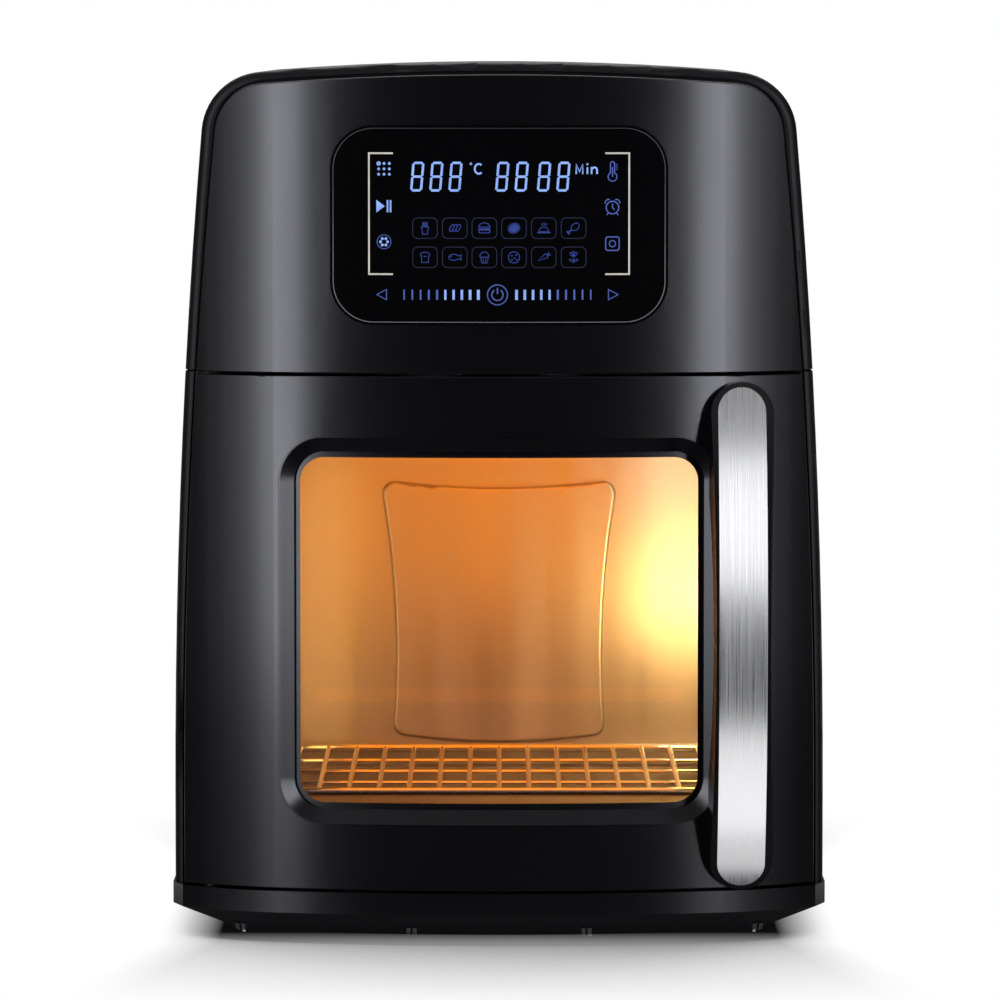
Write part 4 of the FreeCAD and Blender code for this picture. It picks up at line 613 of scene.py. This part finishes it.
# Tall panels at both sides, dimmer further round, give the soft upright highlights of the bowed front
SIDE_START, SIDE_END, SIDE_STEPS, SIDE_FOCUS, SIDE_FALL = 25.2, 80.0, 10, 20.0, 1.3
SIDE_RADIANCE, SIDE_REACH, SIDE_HEIGHT, SIDE_TINT = 15.0, 1.1, 1.1, (0.9, 0.91, 1.0)
HIGHLIGHT_X, HIGHLIGHT_Y, SIDE_GAP = 0.092, -0.128, 0.005
side_growth = ((SIDE_END - SIDE_FOCUS) / (SIDE_START - SIDE_FOCUS)) ** (1.0 / SIDE_STEPS)
for side in (-1, 1):
    seen_from = Vector((side * HIGHLIGHT_X, HIGHLIGHT_Y, SIDE_HEIGHT / 2 + SIDE_GAP))
    for step in range(SIDE_STEPS):
        start, end = ((SIDE_START - SIDE_FOCUS) * side_growth ** (step + k) for k in (0, 1))
        turn = (start + end) / 2
        fade = 1.0 - (turn / (SIDE_END - SIDE_FOCUS)) ** 2
        radiance = SIDE_RADIANCE * fade * (turn / (SIDE_START - SIDE_FOCUS)) ** -SIDE_FALL
        angle = math.radians(SIDE_FOCUS + turn)
        width = 2 * SIDE_REACH * math.tan(math.radians(end - start) / 2)
        stand = seen_from + SIDE_REACH * Vector((side * math.sin(angle), -math.cos(angle), 0.0))
        watts = radiance * math.pi * width * SIDE_HEIGHT
        soft_box("side_panel", stand, seen_from, width, SIDE_HEIGHT, watts, SIDE_TINT)
top_box = soft_box("top_box", (0.0, 0.2, 1.9), (0.0, 0.0, 0.0), width=1.4, height=1.4, watts=22.0)
top_box.visible_glossy = False
soft_box("rear_box", (0.0, 1.5, 1.3), (0.0, 0.0, 0.2), width=1.8, height=0.9, watts=9.0)

# A strip over the camera, two cards by the floor and a broad fill for the bowed inlay alone
INLAY_X, INLAY_Y, INLAY_Z, CARD_X, CARD_Z = 0.1, -0.15, 0.15, 0.108, 0.004
strip = soft_box("handle_strip", (0.16, -1.55, 0.84), (INLAY_X, INLAY_Y, INLAY_Z),
                 width=0.24, height=1.05, watts=2.04)
far_card = soft_box("handle_card", (CARD_X, -0.26, CARD_Z), (CARD_X, -0.26, 1.0),
                    width=0.1, height=0.17, watts=0.064)
near_card = soft_box("near_card", (CARD_X, -0.16, CARD_Z), (CARD_X, -0.16, 1.0),
                     width=0.1, height=0.03, watts=0.0068)
fill = soft_box("handle_fill", (INLAY_X, -1.5, 0.3), (INLAY_X, INLAY_Y, 0.13),
                width=1.0, height=1.0, watts=0.3)
for lamp in (strip, far_card, near_card, fill):
    light_only(lamp, "handle_inlay")

# Oven lamp at the right wall with its pale halo, the heater's glow from above, and the light they throw back
HEATER_COLOUR, FILL_COLOUR = (1.0, 0.2, 0.0), (1.0, 0.26, 0.0)
HALO_COLOUR, WALL_COLOUR = (1.0, 0.86, 0.6), (1.0, 0.5, 0.1)
LAMP_INSET, LAMP_RADIUS, HEATER_DROP, HEATER_SIZE, HEATER_Y = 0.02, 0.012, 0.012, 0.15, 0.01
cavity_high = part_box("oven_liner")[1]
bulb_low, bulb_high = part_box("lamp_bulb")
bulb_middle = (bulb_low + bulb_high) / 2
lamp_place = Vector((cavity_high.x - LAMP_INSET, bulb_middle.y, bulb_middle.z))
oven_lamp = glow_point("oven_lamp", lamp_place, 0.24, LAMP_COLOUR, LAMP_RADIUS)
oven_lamp.visible_transmission = False
soft_box("heater_glow", (0.0, HEATER_Y, cavity_high.z - HEATER_DROP), (0.0, HEATER_Y, 0.0),
         width=HEATER_SIZE, height=HEATER_SIZE, watts=0.15, colour=HEATER_COLOUR)
soft_box("oven_fill", (0.0, -0.085, 0.15), (0.0, 0.1, 0.1),
         width=0.16, height=0.1, watts=0.09, colour=FILL_COLOUR)
soft_box("lamp_halo", (0.086, 0.03, 0.17), (0.08, 0.108, 0.17),
         width=0.014, height=0.13, watts=0.026, colour=HALO_COLOUR)
soft_box("wall_glow", (-0.085, 0.03, 0.13), (-0.06, 0.108, 0.13),
         width=0.012, height=0.14, watts=0.016, colour=WALL_COLOUR)

# Pale floor, white to the camera away from the object, with its soft shadow close to it
SHADOW_START, SHADOW_SPREAD, SHADOW_EDGE = 0.13, 0.22, 0.026
SHADOW_HALF, SHADOW_REACH, SHADOW_CORE, SHADOW_CURVE = 0.122, 0.2, 0.25, 1.05
UNDER_LIGHT, UNDER_DARK, UNDER_FRONT, UNDER_DEEP = 0.25, 0.004, -0.13, -0.095
NEAR_TONE, FAR_TONE, NEAR_EDGE, FAR_EDGE = 0.15, 0.04, 0.04, 0.12
REAR_TONE, REAR_START, REAR_END = 0.7, -0.1, 0.2
FLOOR_RADIUS, FLOOR_SIDES, FLOOR_GREY, FLOOR_ROUGHNESS, FLOOR_IOR = 6.0, 96, (0.8, 0.8, 0.8), 0.22, 1.1
bpy.ops.mesh.primitive_circle_add(vertices=FLOOR_SIDES, radius=FLOOR_RADIUS, fill_type="NGON")
floor = bpy.context.object
floor.name = "studio_floor"


def past_edge(tree, value, edge):
    """How far a value lies beyond an edge."""
    return maths(tree, "MAXIMUM", maths(tree, "SUBTRACT", value, edge), 0.0)


def length_of(tree, *parts):
    """Length of a vector from its parts."""
    total = 0.0
    for part in parts:
        total = maths(tree, "ADD", maths(tree, "MULTIPLY", part, part), total)
    return maths(tree, "SQRT", total)


def shadow_tone(tree, y, out_x, ahead, past):
    """Tone of the floor as the camera sees it: white, darker where the object shuts out the sky."""
    spread = maths(tree, "MULTIPLY", maths(tree, "ADD", ahead, past), SHADOW_SPREAD)
    shaded = ranged(tree, past_edge(tree, out_x, spread), 1.0, 0.0, 0.0, SHADOW_EDGE)
    hidden = tree.nodes.new("ShaderNodeAmbientOcclusion")
    hidden.inputs["Distance"].default_value = SHADOW_REACH
    lit = ranged(tree, hidden.outputs["AO"], 0.0, 1.0, SHADOW_CORE, 1.0)
    under = ranged(tree, y, UNDER_LIGHT, UNDER_DARK, UNDER_FRONT, UNDER_DEEP)
    open_sky = maths(tree, "MAXIMUM", maths(tree, "POWER", lit, SHADOW_CURVE), under)
    shut = maths(tree, "SUBTRACT", 1.0, open_sky)
    return maths(tree, "SUBTRACT", 1.0, maths(tree, "MULTIPLY", shaded, shut))


def floor_material():
    """Emits its tone to the camera; other rays see a faint gloss, dark in front and light behind."""
    made, tree, unseen = new_material("pale_floor", FLOOR_GREY, FLOOR_ROUGHNESS, IOR=FLOOR_IOR)
    x, y, _ = coordinates(tree, "Object")
    out_x = past_edge(tree, maths(tree, "ABSOLUTE", x), SHADOW_HALF)
    ahead = past_edge(tree, maths(tree, "MULTIPLY", y, -1.0), SHADOW_START)
    past = past_edge(tree, y, SHADOW_START)
    seen = tree.nodes.new("ShaderNodeEmission")
    seen.inputs["Color"].default_value = WHITE
    tree.links.new(shadow_tone(tree, y, out_x, ahead, past), seen.inputs["Strength"])
    away = length_of(tree, out_x, ahead, past)
    ahead_tone = ranged(tree, away, NEAR_TONE, FAR_TONE, NEAR_EDGE, FAR_EDGE)
    rear_tone = ranged(tree, y, 0.0, REAR_TONE, REAR_START, REAR_END)
    tree.links.new(maths(tree, "MAXIMUM", ahead_tone, rear_tone), unseen.inputs["Base Color"])
    rays = tree.nodes.new("ShaderNodeLightPath")
    final = tree.nodes.new("ShaderNodeMixShader")
    tree.links.new(rays.outputs["Is Camera Ray"], final.inputs["Fac"])
    tree.links.new(unseen.outputs[0], final.inputs[1])
    tree.links.new(seen.outputs[0], final.inputs[2])
    tree.links.new(final.outputs[0], tree.nodes["Material Output"].inputs["Surface"])
    return made


floor.data.materials.append(floor_material())

# World: white to the camera; mirrors and glass see it dark in front, and lighter behind and above
AMBIENT, DARK_SIDE, BEHIND, OVERHEAD = 0.3, 0.01, 0.08, 0.27
BEHIND_START, BEHIND_END, OVERHEAD_START, OVERHEAD_END = 0.0, 0.45, 0.5, 0.85
world = bpy.data.worlds.new("studio")
scene.world = world
world.use_nodes = True


def light_world(tree):
    """Sets the strength of the world by the kind of ray and where it goes."""
    _, y, z = coordinates(tree, "Generated")
    behind = ranged(tree, y, DARK_SIDE, BEHIND, BEHIND_START, BEHIND_END)
    overhead = ranged(tree, z, 0.0, OVERHEAD, OVERHEAD_START, OVERHEAD_END)
    rays = tree.nodes.new("ShaderNodeLightPath")
    mirrored = maths(tree, "MAXIMUM", rays.outputs["Is Glossy Ray"], rays.outputs["Is Transmission Ray"])
    around = ranged(tree, mirrored, AMBIENT, 1.0, 0.0, 1.0)
    tree.links.new(maths(tree, "ADD", behind, overhead), around.node.inputs["To Max"])
    shown = maths(tree, "MAXIMUM", around, rays.outputs["Is Camera Ray"])
    background = tree.nodes["Background"]
    background.inputs["Color"].default_value = WHITE
    tree.links.new(shown, background.inputs["Strength"])


light_world(world.node_tree)

# Camera
TARGET = Vector((0.0004, 0.0, 0.1835))
ELEVATION, DISTANCE, LENS, SENSOR = math.radians(4.1), 2.9, 231.0, 36.0
camera_data = bpy.data.cameras.new("camera")
camera_data.lens = LENS
camera_data.sensor_width = SENSOR
camera = bpy.data.objects.new("camera", camera_data)
scene.collection.objects.link(camera)
point_at(camera, TARGET + DISTANCE * Vector((0.0, -math.cos(ELEVATION), math.sin(ELEVATION))), TARGET)
scene.camera = camera
scene.view_settings.view_transform = "Standard"
